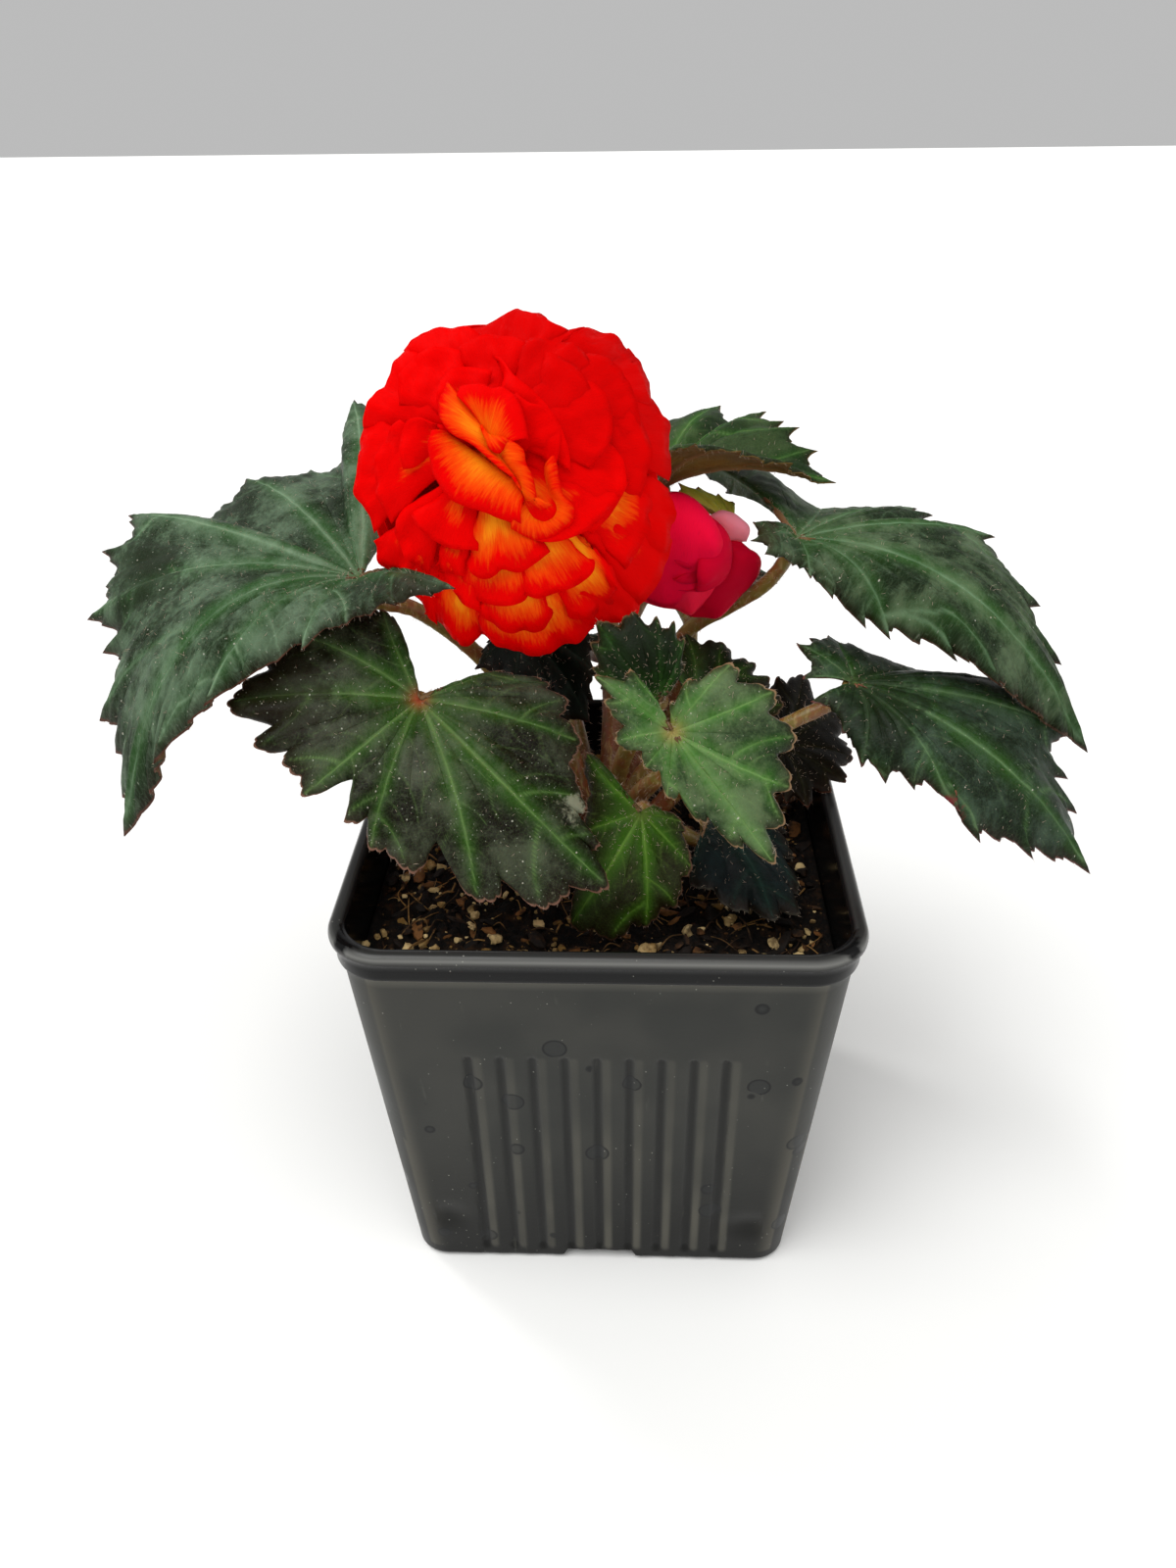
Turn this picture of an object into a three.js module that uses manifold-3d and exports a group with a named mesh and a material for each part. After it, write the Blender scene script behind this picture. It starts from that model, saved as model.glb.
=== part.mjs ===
// A potted tuberous begonia: a square black nursery pot of potting mix, a clump of toothed, lopsided
// leaves on fleshy stalks, one large double bloom and one half-open bud.
// Millimetres, +Z up. The origin is the middle of the pot's underside, and -Y is the side that is looked at.
import * as THREE from "three";
import { mergeVertices } from "three/addons/utils/BufferGeometryUtils.js";
import Module from "manifold-3d";

const wasm = await Module();
wasm.setup();

// ---------------------------------------------------------------- driving dimensions

const POT_WIDTH = 114; // across the rim
const POT_HEIGHT = 106;
const WALL = 1.2;
const GAP = 0.3; // clearance between pieces that touch

const POT = {
  rimHalf: POT_WIDTH / 2,
  rimRadius: 13,
  rimThick: 3,
  rimInnerHalf: 53.4,
  collarHalf: 55.6,
  collarHeight: 5,
  wallHalf: 55.1, // outer half width just under the collar
  baseHalf: 46.4, // outer half width at the floor
  cornerRadius: 11,
  baseRadius: 8,
  edgeBevel: 2,
};
const FLUTES = { count: 9, pitch: 7.1, width: 2.2, depth: 0.6, top: 75, bottom: 4 };
const NOTCH = { topWidth: 16, bottomWidth: 19.5, height: 3.6, depth: 11, drainRadius: 3.5 };

const SOIL_TOP = 92;
const SOIL_ROUGHNESS = 1.6;
const PERLITE = { count: 26, smallest: 1.1, largest: 2.3, seed: 11 };

const TUBER = { radius: 17, top: 85, bottom: 63, neck: 9.5, crown: 97 };

const LEAF = { thick: 0.8, rings: [0.35, 0.7, 1], arch: 0.09, notch: 0.13, pucker: 1.2 };
const STALK = { foot: 2.6, tip: 1.5, clearance: 0.5 }; // radii, and the gap left under a blade

const PETAL_THICK = 0.9;
const BLOOM = { core: 10, facing: [4, 67], skew: [-0.2, 0.2] };
const BUD = { core: 4.5, facing: [-35, 97] };

// ---------------------------------------------------------------- the viewpoint

// Leaves are placed by where the photograph shows them: a pixel of its 1200 x 1600 frame and either a
// depth in mm along Y or the plane of the blade.
const FRAME = { width: 1200, height: 1600, focal: 1270 };
const EYE = new THREE.Vector3(7.2, -251.9, 268);
const GAZE = { yaw: -2.37, pitch: 31.64, roll: -0.8 };
const degrees = THREE.MathUtils.degToRad;

function viewAxes() {
  const [yaw, pitch, roll] = [GAZE.yaw, GAZE.pitch, GAZE.roll].map(degrees);
  const forward = new THREE.Vector3(
    Math.sin(yaw) * Math.cos(pitch),
    Math.cos(yaw) * Math.cos(pitch),
    -Math.sin(pitch),
  );
  const level = new THREE.Vector3(Math.cos(yaw), -Math.sin(yaw), 0);
  const upright = new THREE.Vector3().crossVectors(level, forward);
  const right = level.clone().multiplyScalar(Math.cos(roll)).addScaledVector(upright, Math.sin(roll));
  const up = upright.clone().multiplyScalar(Math.cos(roll)).addScaledVector(level, -Math.sin(roll));
  return { forward, right, up };
}
const VIEW = viewAxes();

function sightLine(px, py) {
  return VIEW.forward
    .clone()
    .multiplyScalar(FRAME.focal)
    .addScaledVector(VIEW.right, px - FRAME.width / 2)
    .addScaledVector(VIEW.up, FRAME.height / 2 - py);
}

// The point seen at a pixel, at depth y.
function seenAtDepth(px, py, y) {
  const line = sightLine(px, py);
  return EYE.clone().addScaledVector(line, (y - EYE.y) / line.y);
}

// The point seen at a pixel, on a plane.
function seenOnPlane(px, py, origin, normal) {
  const line = sightLine(px, py);
  const reach = new THREE.Vector3().subVectors(origin, EYE).dot(normal) / line.dot(normal);
  return EYE.clone().addScaledVector(line, reach);
}

// The upper side's normal of a blade that leans by tilt towards a heading, 0 being -Y and 90 +X.
function leaning(heading, tilt) {
  const [h, t] = [heading, tilt].map(degrees);
  return new THREE.Vector3(Math.sin(t) * Math.sin(h), -Math.sin(t) * Math.cos(h), Math.cos(t));
}

// ---------------------------------------------------------------- solids

function toManifold(geometry) {
  const bare = new THREE.BufferGeometry();
  bare.setAttribute("position", geometry.getAttribute("position"));
  if (geometry.index) bare.setIndex(geometry.index);
  const merged = mergeVertices(bare.index ? bare.toNonIndexed() : bare, 1e-4);
  const corners = merged.index.array;
  const kept = [];
  for (let i = 0; i < corners.length; i += 3) {
    const [a, b, c] = [corners[i], corners[i + 1], corners[i + 2]];
    if (a !== b && b !== c && c !== a) kept.push(a, b, c);
  }
  return new wasm.Manifold(
    new wasm.Mesh({
      numProp: 3,
      vertProperties: new Float32Array(merged.attributes.position.array),
      triVerts: new Uint32Array(kept),
    }),
  );
}

function toGeometry(solid) {
  const mesh = solid.getMesh();
  const positions = new Float32Array(mesh.numVert * 3);
  for (let i = 0; i < mesh.numVert; i++) {
    positions.set(mesh.vertProperties.subarray(i * mesh.numProp, i * mesh.numProp + 3), i * 3);
  }
  const geometry = new THREE.BufferGeometry();
  geometry.setAttribute("position", new THREE.BufferAttribute(positions, 3));
  geometry.setIndex(new THREE.BufferAttribute(new Uint32Array(mesh.triVerts), 1));
  geometry.computeVertexNormals();
  return geometry;
}

function meshFrom(vertices, triangles) {
  const geometry = new THREE.BufferGeometry();
  const flat = vertices.flatMap((v) => [v.x, v.y, v.z]);
  geometry.setAttribute("position", new THREE.BufferAttribute(new Float32Array(flat), 3));
  geometry.setIndex(triangles);
  return geometry;
}

// A closed skin over rings of equal point counts, the first and last rings capped to their middles.
function loft(rings) {
  const count = rings[0].length;
  const vertices = rings.flat();
  const triangles = [];
  for (let r = 0; r + 1 < rings.length; r++) {
    for (let i = 0; i < count; i++) {
      const [a, b] = [r * count + i, r * count + ((i + 1) % count)];
      triangles.push(a, b, b + count, a, b + count, a + count);
    }
  }
  for (const [ring, outward] of [[0, false], [rings.length - 1, true]]) {
    const middle = vertices.length;
    const sum = rings[ring].reduce((s, p) => s.add(p), new THREE.Vector3());
    vertices.push(sum.divideScalar(count));
    for (let i = 0; i < count; i++) {
      const [a, b] = [ring * count + i, ring * count + ((i + 1) % count)];
      triangles.push(...(outward ? [a, b, middle] : [b, a, middle]));
    }
  }
  return meshFrom(vertices, triangles);
}

// A rounded square, anticlockwise seen from above.
function roundedSquare(half, radius, z, perCorner = 5) {
  const ring = [];
  for (let corner = 0; corner < 4; corner++) {
    const [cx, cy] = [[1, 1], [-1, 1], [-1, -1], [1, -1]][corner].map((s) => s * (half - radius));
    for (let k = 0; k <= perCorner; k++) {
      const angle = (corner + k / perCorner) * (Math.PI / 2);
      ring.push(new THREE.Vector3(cx + radius * Math.cos(angle), cy + radius * Math.sin(angle), z));
    }
  }
  return ring;
}

// A sheet of points, rows by columns, given a thickness along its normals. A first row that is one
// point, as at a leaf's heart, takes the normal `apex`.
function thicken(sheet, thickness, apex = null) {
  const [rows, columns] = [sheet.length, sheet[0].length];
  const faces = [[], []];
  for (let r = 0; r < rows; r++) {
    for (let c = 0; c < columns; c++) {
      const along = new THREE.Vector3().subVectors(
        sheet[Math.min(r + 1, rows - 1)][c],
        sheet[Math.max(r - 1, 0)][c],
      );
      const across = new THREE.Vector3().subVectors(
        sheet[r][Math.min(c + 1, columns - 1)],
        sheet[r][Math.max(c - 1, 0)],
      );
      const normal = apex && r === 0 ? apex.clone() : along.cross(across).normalize();
      faces[0].push(sheet[r][c].clone().addScaledVector(normal, thickness / 2));
      faces[1].push(sheet[r][c].clone().addScaledVector(normal, -thickness / 2));
    }
  }
  const under = rows * columns;
  const at = (r, c) => r * columns + c;
  const triangles = [];
  for (let r = 0; r + 1 < rows; r++) {
    for (let c = 0; c + 1 < columns; c++) {
      const [p, q, s, t] = [at(r, c), at(r + 1, c), at(r + 1, c + 1), at(r, c + 1)];
      triangles.push(p, q, s, p, s, t);
      triangles.push(under + p, under + s, under + q, under + p, under + t, under + s);
    }
  }
  const edge = [];
  for (let c = 0; c < columns - 1; c++) edge.push(at(0, c));
  for (let r = 0; r < rows - 1; r++) edge.push(at(r, columns - 1));
  for (let c = columns - 1; c > 0; c--) edge.push(at(rows - 1, c));
  for (let r = rows - 1; r > 0; r--) edge.push(at(r, 0));
  edge.forEach((a, i) => {
    const b = edge[(i + 1) % edge.length];
    triangles.push(a, b, under + b, a, under + b, under + a);
  });
  return meshFrom([...faces[0], ...faces[1]], triangles);
}

// A round stalk through points, with a radius at each end.
function stalk(points, startRadius, endRadius, sides = 6, steps = 6) {
  const curve = new THREE.CatmullRomCurve3(points, false, "centripetal");
  const frames = curve.computeFrenetFrames(steps, false);
  const rings = [];
  for (let i = 0; i <= steps; i++) {
    const centre = curve.getPointAt(i / steps);
    const radius = THREE.MathUtils.lerp(startRadius, endRadius, i / steps);
    const ring = [];
    for (let k = 0; k < sides; k++) {
      const angle = (k / sides) * 2 * Math.PI;
      ring.push(
        centre
          .clone()
          .addScaledVector(frames.normals[i], radius * Math.cos(angle))
          .addScaledVector(frames.binormals[i], radius * Math.sin(angle)),
      );
    }
    rings.push(ring);
  }
  return toManifold(loft(rings));
}

function turned(profile, sides, z = 0) {
  const lathe = new THREE.LatheGeometry(profile.map(([r, h]) => new THREE.Vector2(r, h)), sides);
  lathe.rotateX(Math.PI / 2);
  lathe.translate(0, 0, z);
  return toManifold(lathe);
}

function union(solids) {
  return solids.reduce((all, one) => all.add(one));
}

// A small repeatable random number source.
function seeded(seed) {
  let state = seed;
  return () => {
    state = (state * 1664525 + 1013904223) % 4294967296;
    return state / 4294967296;
  };
}

// ---------------------------------------------------------------- pot

const wallHalfAt = (z) =>
  THREE.MathUtils.lerp(POT.baseHalf, POT.wallHalf, z / (POT_HEIGHT - POT.rimThick));
const wallRadiusAt = (z) =>
  THREE.MathUtils.lerp(POT.baseRadius, POT.cornerRadius, z / (POT_HEIGHT - POT.rimThick));

function potOutside() {
  const lipFoot = POT_HEIGHT - POT.rimThick;
  const collarFoot = lipFoot - POT.collarHeight;
  return toManifold(
    loft([
      roundedSquare(POT.baseHalf - POT.edgeBevel, POT.baseRadius - POT.edgeBevel / 2, 0),
      roundedSquare(wallHalfAt(POT.edgeBevel), wallRadiusAt(POT.edgeBevel), POT.edgeBevel),
      roundedSquare(wallHalfAt(collarFoot), wallRadiusAt(collarFoot), collarFoot),
      roundedSquare(POT.collarHalf, POT.cornerRadius, collarFoot + 0.6),
      roundedSquare(POT.collarHalf, POT.cornerRadius, lipFoot),
      roundedSquare(POT.rimHalf - 0.3, POT.rimRadius, lipFoot + 0.1),
      roundedSquare(POT.rimHalf, POT.rimRadius, lipFoot + 1),
      roundedSquare(POT.rimHalf, POT.rimRadius, POT_HEIGHT - 1),
      roundedSquare(POT.rimHalf - 0.8, POT.rimRadius, POT_HEIGHT),
    ]),
  );
}

function potInside(grow = 0) {
  const inset = WALL + grow;
  const lipFoot = POT_HEIGHT - POT.rimThick;
  return toManifold(
    loft([
      roundedSquare(wallHalfAt(0) - inset - 1, POT.baseRadius - inset - 0.5, inset),
      roundedSquare(wallHalfAt(inset + 1) - inset, POT.baseRadius - inset, inset + 1),
      roundedSquare(POT.rimInnerHalf, POT.cornerRadius - WALL, lipFoot),
      roundedSquare(POT.rimInnerHalf, POT.cornerRadius - WALL, POT_HEIGHT + 1),
    ]),
  );
}

// The drainage notch under the middle of one side, as a block that grows by `grow` on every side.
function notchBlock(grow) {
  const { topWidth, bottomWidth, height, depth } = NOTCH;
  const outline = new THREE.Shape([
    new THREE.Vector2(-bottomWidth / 2 - grow, -1),
    new THREE.Vector2(bottomWidth / 2 + grow, -1),
    new THREE.Vector2(bottomWidth / 2 + grow, 0),
    new THREE.Vector2(topWidth / 2 + grow, height + grow),
    new THREE.Vector2(-topWidth / 2 - grow, height + grow),
    new THREE.Vector2(-bottomWidth / 2 - grow, 0),
  ]);
  const block = new THREE.ExtrudeGeometry(outline, { depth: depth + grow + 5, bevelEnabled: false });
  block.rotateX(Math.PI / 2);
  block.translate(0, depth + grow - POT.baseHalf, 0);
  return block;
}

function onEachSide(make) {
  return [0, 1, 2, 3].map((side) => toManifold(make().rotateZ((side * Math.PI) / 2)));
}

// One flute is a round-backed groove that follows the slope of the wall.
function flute(offset) {
  const length = FLUTES.top - FLUTES.bottom;
  const groove = new THREE.CapsuleGeometry(FLUTES.width / 2, length - FLUTES.width, 1, 6);
  const slope = Math.atan((POT.wallHalf - POT.baseHalf) / (POT_HEIGHT - POT.rimThick));
  const middle = (FLUTES.top + FLUTES.bottom) / 2;
  groove.rotateX(Math.PI / 2);
  groove.rotateX(slope);
  groove.translate(offset, -wallHalfAt(middle) - FLUTES.width / 2 + FLUTES.depth, middle);
  return groove;
}

function makePot() {
  const outside = potOutside();
  const drains = onEachSide(() => {
    const hole = new THREE.CylinderGeometry(NOTCH.drainRadius, NOTCH.drainRadius, 20, 16);
    hole.rotateX(Math.PI / 2);
    hole.translate(0, NOTCH.depth - NOTCH.drainRadius - 1.5 - POT.baseHalf, 0);
    return hole;
  });
  let pot = outside.subtract(potInside());
  for (const block of onEachSide(() => notchBlock(WALL))) pot = pot.add(block.intersect(outside));
  for (const block of onEachSide(() => notchBlock(0))) pot = pot.subtract(block);
  for (const hole of drains) pot = pot.subtract(hole);
  const reach = (FLUTES.count - 1) / 2;
  for (let i = -reach; i <= reach; i++) {
    for (const groove of onEachSide(() => flute(i * FLUTES.pitch))) pot = pot.subtract(groove);
  }
  return pot;
}

// ---------------------------------------------------------------- soil

// Potting mix: it fills the pot up to a lumpy surface strewn with perlite and bark.
function makeSoil(socket) {
  const random = seeded(PERLITE.seed);
  const rings = [
    roundedSquare(wallHalfAt(0) - WALL - GAP - 1.4, POT.baseRadius - WALL - 1, WALL + GAP),
    roundedSquare(wallHalfAt(3) - WALL - GAP - 0.4, POT.baseRadius - WALL - 0.4, WALL + GAP + 1.4),
    roundedSquare(wallHalfAt(SOIL_TOP) - WALL - GAP - 1.4, POT.cornerRadius - WALL - 1, SOIL_TOP - 1),
  ];
  const edge = wallHalfAt(SOIL_TOP) - WALL - GAP - 1.4;
  for (const share of [0.93, 0.8, 0.66, 0.5, 0.34, 0.18]) {
    const ring = roundedSquare(edge * share, (POT.cornerRadius - WALL - 1) * share, SOIL_TOP);
    for (const point of ring) point.z += SOIL_ROUGHNESS * (random() - 0.5) + 1.5 * (1 - share);
    rings.push(ring);
  }
  const lumps = [];
  for (let i = 0; i < PERLITE.count; i++) {
    const size = THREE.MathUtils.lerp(PERLITE.smallest, PERLITE.largest, random() ** 2);
    const lump = new THREE.IcosahedronGeometry(size, 0);
    lump.scale(1, 0.7 + 0.5 * random(), 0.75);
    lump.rotateZ(random() * Math.PI);
    const [x, y] = [random(), random()].map((v) => (2 * v - 1) * (edge - 6));
    const rise = 1.5 * (1 - Math.max(Math.abs(x), Math.abs(y)) / edge);
    lump.translate(x, y, SOIL_TOP + rise - 0.15 * size);
    const clearOfNeck = Math.hypot(x, y) > TUBER.neck + size + 1;
    if (clearOfNeck) lumps.push(toManifold(lump));
  }
  let soil = union([toManifold(loft(rings)), ...lumps]).subtract(socket);
  for (const block of onEachSide(() => notchBlock(WALL + GAP))) soil = soil.subtract(block);
  return soil;
}

// The tuber and its neck, grown by `grow`. It tops out above the soil.
function tuber(grow, top) {
  const { radius, neck, bottom } = TUBER;
  const shoulder = TUBER.top;
  const middle = (shoulder + bottom) / 2;
  return turned(
    [
      [0, bottom - grow],
      [radius * 0.62 + grow, bottom + 2 - grow],
      [radius + grow, middle],
      [radius * 0.8 + grow, shoulder - 3 + grow],
      [neck + grow, shoulder + grow],
      [neck + grow, top],
      [0, top],
    ],
    14,
  );
}

// ---------------------------------------------------------------- leaves

// A blade hangs from its heart, where the veins meet. heart and lobes, the tips of its lobes in order
// round the margin from one side of the sinus to the other, are [pixel, pixel, depth].
const LEAVES = {
  leaf_left: {
    heart: [368, 591, -8],
    lobes: [
      [424, 536, 26], [446, 470, 46], [420, 412, 60], [362, 408, 60], [351, 467, 44], [316, 478, 40], [250, 487, 34],
      [190, 537, 26], [130, 525, 14], [104, 563, 6], [89, 632, -4], [106, 668, -12], [101, 734, -20],
      [126, 852, -30], [158, 778, -36], [210, 722, -36], [245, 700, -34], [306, 663, -31],
      [354, 641, -31], [404, 619, -33], [466, 603, -38], [440, 595, -31],
    ],
  },
  leaf_front_left: {
    heart: [428, 714, -26],
    lobes: [
      [417, 668, -20], [390, 622, -16], [300, 645, -19], [233, 716, -30], [259, 763, -37],
      [288, 781, -40], [307, 815, -44], [352, 838, -46], [377, 869, -49], [411, 887, -51],
      [489, 920, -54], [557, 928, -53], [621, 908, -48], [612, 862, -42], [599, 822, -37],
      [593, 757, -29], [580, 716, -23], [562, 696, -20], [510, 685, -20], [450, 704, -24],
    ],
  },
  leaf_front_low: {
    heart: [654, 829, -31],
    lobes: [
      [634, 802, -28], [598, 768, -24], [594, 850, -32], [582, 944, -40], [624, 961, -42],
      [660, 947, -41], [690, 926, -40], [706, 885, -37], [697, 838, -33], [668, 820, -30],
    ],
  },
  leaf_centre: {
    heart: [686, 747, -42],
    lobes: [
      [668, 716, -38], [644, 684, -36], [606, 688, -37], [616, 716, -39], [626, 758, -44],
      [657, 785, -46], [680, 816, -49], [711, 838, -51], [749, 864, -55], [790, 883, -57],
      [801, 840, -50], [808, 805, -46], [813, 753, -41], [790, 706, -37], [746, 677, -34],
      [703, 692, -36], [683, 718, -39],
    ],
  },
  leaf_centre_high: {
    heart: [672, 716, -30],
    lobes: [
      [688, 700, -29], [699, 680, -27], [699, 651, -24], [688, 633, -23], [670, 629, -23],
      [647, 624, -23], [608, 633, -23], [602, 655, -24], [606, 684, -27], [646, 706, -28],
    ],
  },
  leaf_centre_back: {
    heart: [707, 728, 2],
    lobes: [
      [714, 748, -8], [770, 752, -4], [800, 720, 4], [785, 692, 13], [770, 677, 17], [738, 655, 20],
      [700, 646, 20], [676, 668, 12],
    ],
  },
  leaf_right_low: {
    heart: [797, 763, 14],
    lobes: [
      [772, 776, 8], [784, 808, 2], [802, 819, 0], [823, 825, 0], [848, 809, 6], [864, 799, 8],
      [870, 774, 16], [858, 730, 30], [818, 689, 34], [792, 692, 30], [772, 735, 22],
    ],
  },
  leaf_right: {
    heart: [870, 697, -2],
    lobes: [
      [827, 716, -8], [858, 750, -15], [878, 784, -20], [905, 800, -23], [935, 806, -25],
      [979, 828, -27], [1002, 860, -30], [1055, 876, -27], [1113, 891, -22], [1099, 831, -10],
      [1089, 795, -4], [1092, 751, 2], [1059, 714, 8], [1014, 703, 11], [947, 689, 13],
      [845, 647, 13], [813, 655, 4], [820, 692, -3],
    ],
  },
  leaf_right_high: {
    heart: [812, 550, 14],
    lobes: [
      [801, 534, 13], [767, 534, 6], [766, 552, 0], [780, 566, -2], [826, 592, 2], [850, 612, 0],
      [883, 640, -2], [910, 652, -4], [976, 674, -8], [1024, 700, -10], [1111, 767, -2],
      [1082, 680, 6], [1063, 618, 12], [1014, 550, 24], [956, 548, 27], [952, 526, 32],
      [934, 521, 36], [832, 523, 46], [765, 473, 54], [706, 470, 52], [742, 502, 42],
    ],
  },
  leaf_top_right: {
    heart: [674, 496, 26],
    lobes: [
      [660, 470, 12], [684, 459, 8], [710, 453, 7], [757, 459, 9], [810, 474, 14],
      [853, 492, 21], [835, 462, 30], [816, 438, 36], [800, 430, 42], [781, 419, 48], [756, 432, 50],
      [735, 413, 58], [681, 430, 62], [640, 445, 52],
    ],
  },
  bud_bract: {
    heart: [744, 537, 29],
    lobes: [
      [750, 514, 34], [733, 503, 34], [712, 497, 32], [693, 493, 30], [686, 502, 28],
      [702, 513, 29], [726, 524, 29],
    ],
  },
  leaf_under_bloom: {
    heart: [535, 640, 16],
    lobes: [
      [500, 640, 14], [496, 655, 10], [485, 682, -2], [524, 712, -10], [556, 712, -6],
      [576, 744, 2], [602, 738, 4], [612, 690, 6], [608, 640, 12], [590, 612, 22],
    ],
  },
  leaf_low_right: {
    heart: [722, 838, -8],
    lobes: [
      [712, 862, -16], [705, 901, -30], [750, 930, -36], [790, 942, -40], [815, 934, -36],
      [816, 906, -26], [810, 870, -14], [802, 845, -6], [760, 826, 0],
    ],
  },
};

// The blades behind the bloom aren't seen: heart in mm, facing as [heading, tilt], reach, and the
// margin as [bearing from the tip, share of the reach].
const BACK_LEAVES = {
  leaf_back_left: { heart: [-25, 38, 163], facing: [208, 26], reach: 50 },
  leaf_back_right: { heart: [18, 52, 147], facing: [162, 26], reach: 44 },
  leaf_back_low: { heart: [-11, 44, 127], facing: [188, 34], reach: 38 },
};
const BACK_MARGIN = [
  [-165, 0.34], [-140, 0.5], [-112, 0.56], [-84, 0.58], [-56, 0.66], [-28, 0.78], [0, 1],
  [26, 0.72], [54, 0.6], [82, 0.52], [110, 0.5], [140, 0.46], [165, 0.32],
];

function photographed({ heart, lobes }) {
  const origin = seenAtDepth(...heart);
  return { origin, tips: lobes.map((lobe) => seenAtDepth(...lobe).sub(origin)) };
}

function unseen({ heart, facing: [heading, tilt], reach }) {
  const tips = BACK_MARGIN.map(([bearing, share]) =>
    new THREE.Vector3(0, -reach * share, 0)
      .applyAxisAngle(new THREE.Vector3(0, 0, 1), degrees(bearing))
      .applyAxisAngle(new THREE.Vector3(1, 0, 0), degrees(tilt))
      .applyAxisAngle(new THREE.Vector3(0, 0, 1), degrees(heading)),
  );
  return { origin: new THREE.Vector3(...heart), tips };
}

// The blade's upper side, by the turn its lobes make round its heart.
function upperSide(tips) {
  const sum = new THREE.Vector3();
  for (let i = 0; i + 1 < tips.length; i++) {
    sum.add(new THREE.Vector3().crossVectors(tips[i], tips[i + 1]));
  }
  return sum.normalize();
}

const GREENS = {
  leaf_left: 0x3a4a3a,
  leaf_front_left: 0x2e3526,
  leaf_front_low: 0x2f3f1e,
  leaf_centre: 0x46563c,
  leaf_centre_high: 0x2a3a1f,
  leaf_centre_back: 0x2e331f,
  leaf_right_low: 0x241f1a,
  leaf_right: 0x2c3a2c,
  leaf_right_high: 0x35493a,
  leaf_top_right: 0x344a28,
  leaf_under_bloom: 0x1d2420,
  leaf_low_right: 0x1b2528,
  bud_bract: 0x7d8a22,
};

// How much more the long drooping blades arch, as a share of how far a lobe hangs below the heart.
const DROOP = { leaf_left: 0.35, leaf_right_high: 0.22, leaf_right: 0.12 };

// Rings of points round the heart. Each bay between two lobe tips is notched, and the blade arches
// from its heart to its margin and puckers up between the veins.
function bladeSheet({ origin, tips }, droop) {
  const up = upperSide(tips);
  const sheet = [];
  for (const ring of [0, ...LEAF.rings]) {
    const row = [];
    for (let k = 0; k < tips.length * 2 - 1; k++) {
      const between = k % 2;
      const [left, right] = [tips[Math.floor(k / 2)], tips[Math.ceil(k / 2)]];
      const reach = left.clone().add(right).divideScalar(2);
      const hang = droop * Math.max(0, -reach.z);
      const lift = LEAF.arch * reach.length() + hang + LEAF.pucker * between;
      row.push(
        origin
          .clone()
          .addScaledVector(reach, ring * (1 - LEAF.notch * between * ring ** 3))
          .addScaledVector(up, lift * 4 * ring * (1 - ring)),
      );
    }
    sheet.push(row);
  }
  return { sheet, up };
}

function makeBlade(name, leaf) {
  const { sheet, up } = bladeSheet(leaf, DROOP[name] ?? 0);
  return toManifold(thicken(sheet, LEAF.thick, up));
}

// ---------------------------------------------------------------- stalks

// Points a leaf's stalk passes between the crown and the underside of its blade, in mm.
const STALK_BENDS = {
  leaf_left: [[-4, 2, 93], [-16, 11, 122], [-28, 11, 140], [-41, 1, 157]],
  leaf_front_left: [[-4, -2, 93], [-12, -8, 118], [-26, -17, 138]],
  leaf_front_low: [[2, -4, 93], [3, -10, 108], [7, -20, 117]],
  leaf_centre: [[2, -3, 93], [8, -14, 117], [14, -31, 136]],
  leaf_centre_high: [[1, -1, 93], [4, -8, 120], [9, -20, 140]],
  leaf_centre_back: [[3, 2, 93], [9, 4, 112]],
  leaf_right_low: [[4, 2, 93], [20, 8, 107]],
  leaf_right: [[5, 0, 93], [22, 0, 116], [44, 0, 130]],
  leaf_right_high: [[3, 4, 93], [13, 20, 124], [20, 28, 139], [30, 26, 147], [38, 19, 156]],
  leaf_top_right: [[1, 4, 93], [3, 20, 132], [-1, 28, 158], [4, 27, 171]],
  leaf_under_bloom: [[-3, 2, 93], [-8, 8, 118]],
  leaf_low_right: [[5, -2, 93], [14, -4, 103]],
  leaf_back_left: [[-4, 4, 93], [-14, 20, 128]],
  leaf_back_right: [[2, 4, 93], [16, 24, 118], [22, 42, 134]],
  leaf_back_low: [[-1, 4, 93], [-6, 24, 110]],
};

function leafStalk(name, { origin, tips }) {
  const up = upperSide(tips);
  const bends = STALK_BENDS[name].map((p) => new THREE.Vector3(...p));
  const under = LEAF.thick / 2 + STALK.clearance;
  const near = origin.clone().addScaledVector(up, -under - 5);
  const end = origin.clone().addScaledVector(up, -under);
  return stalk([...bends, near, end], STALK.foot, STALK.tip);
}

// ---------------------------------------------------------------- bloom and bud

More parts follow.
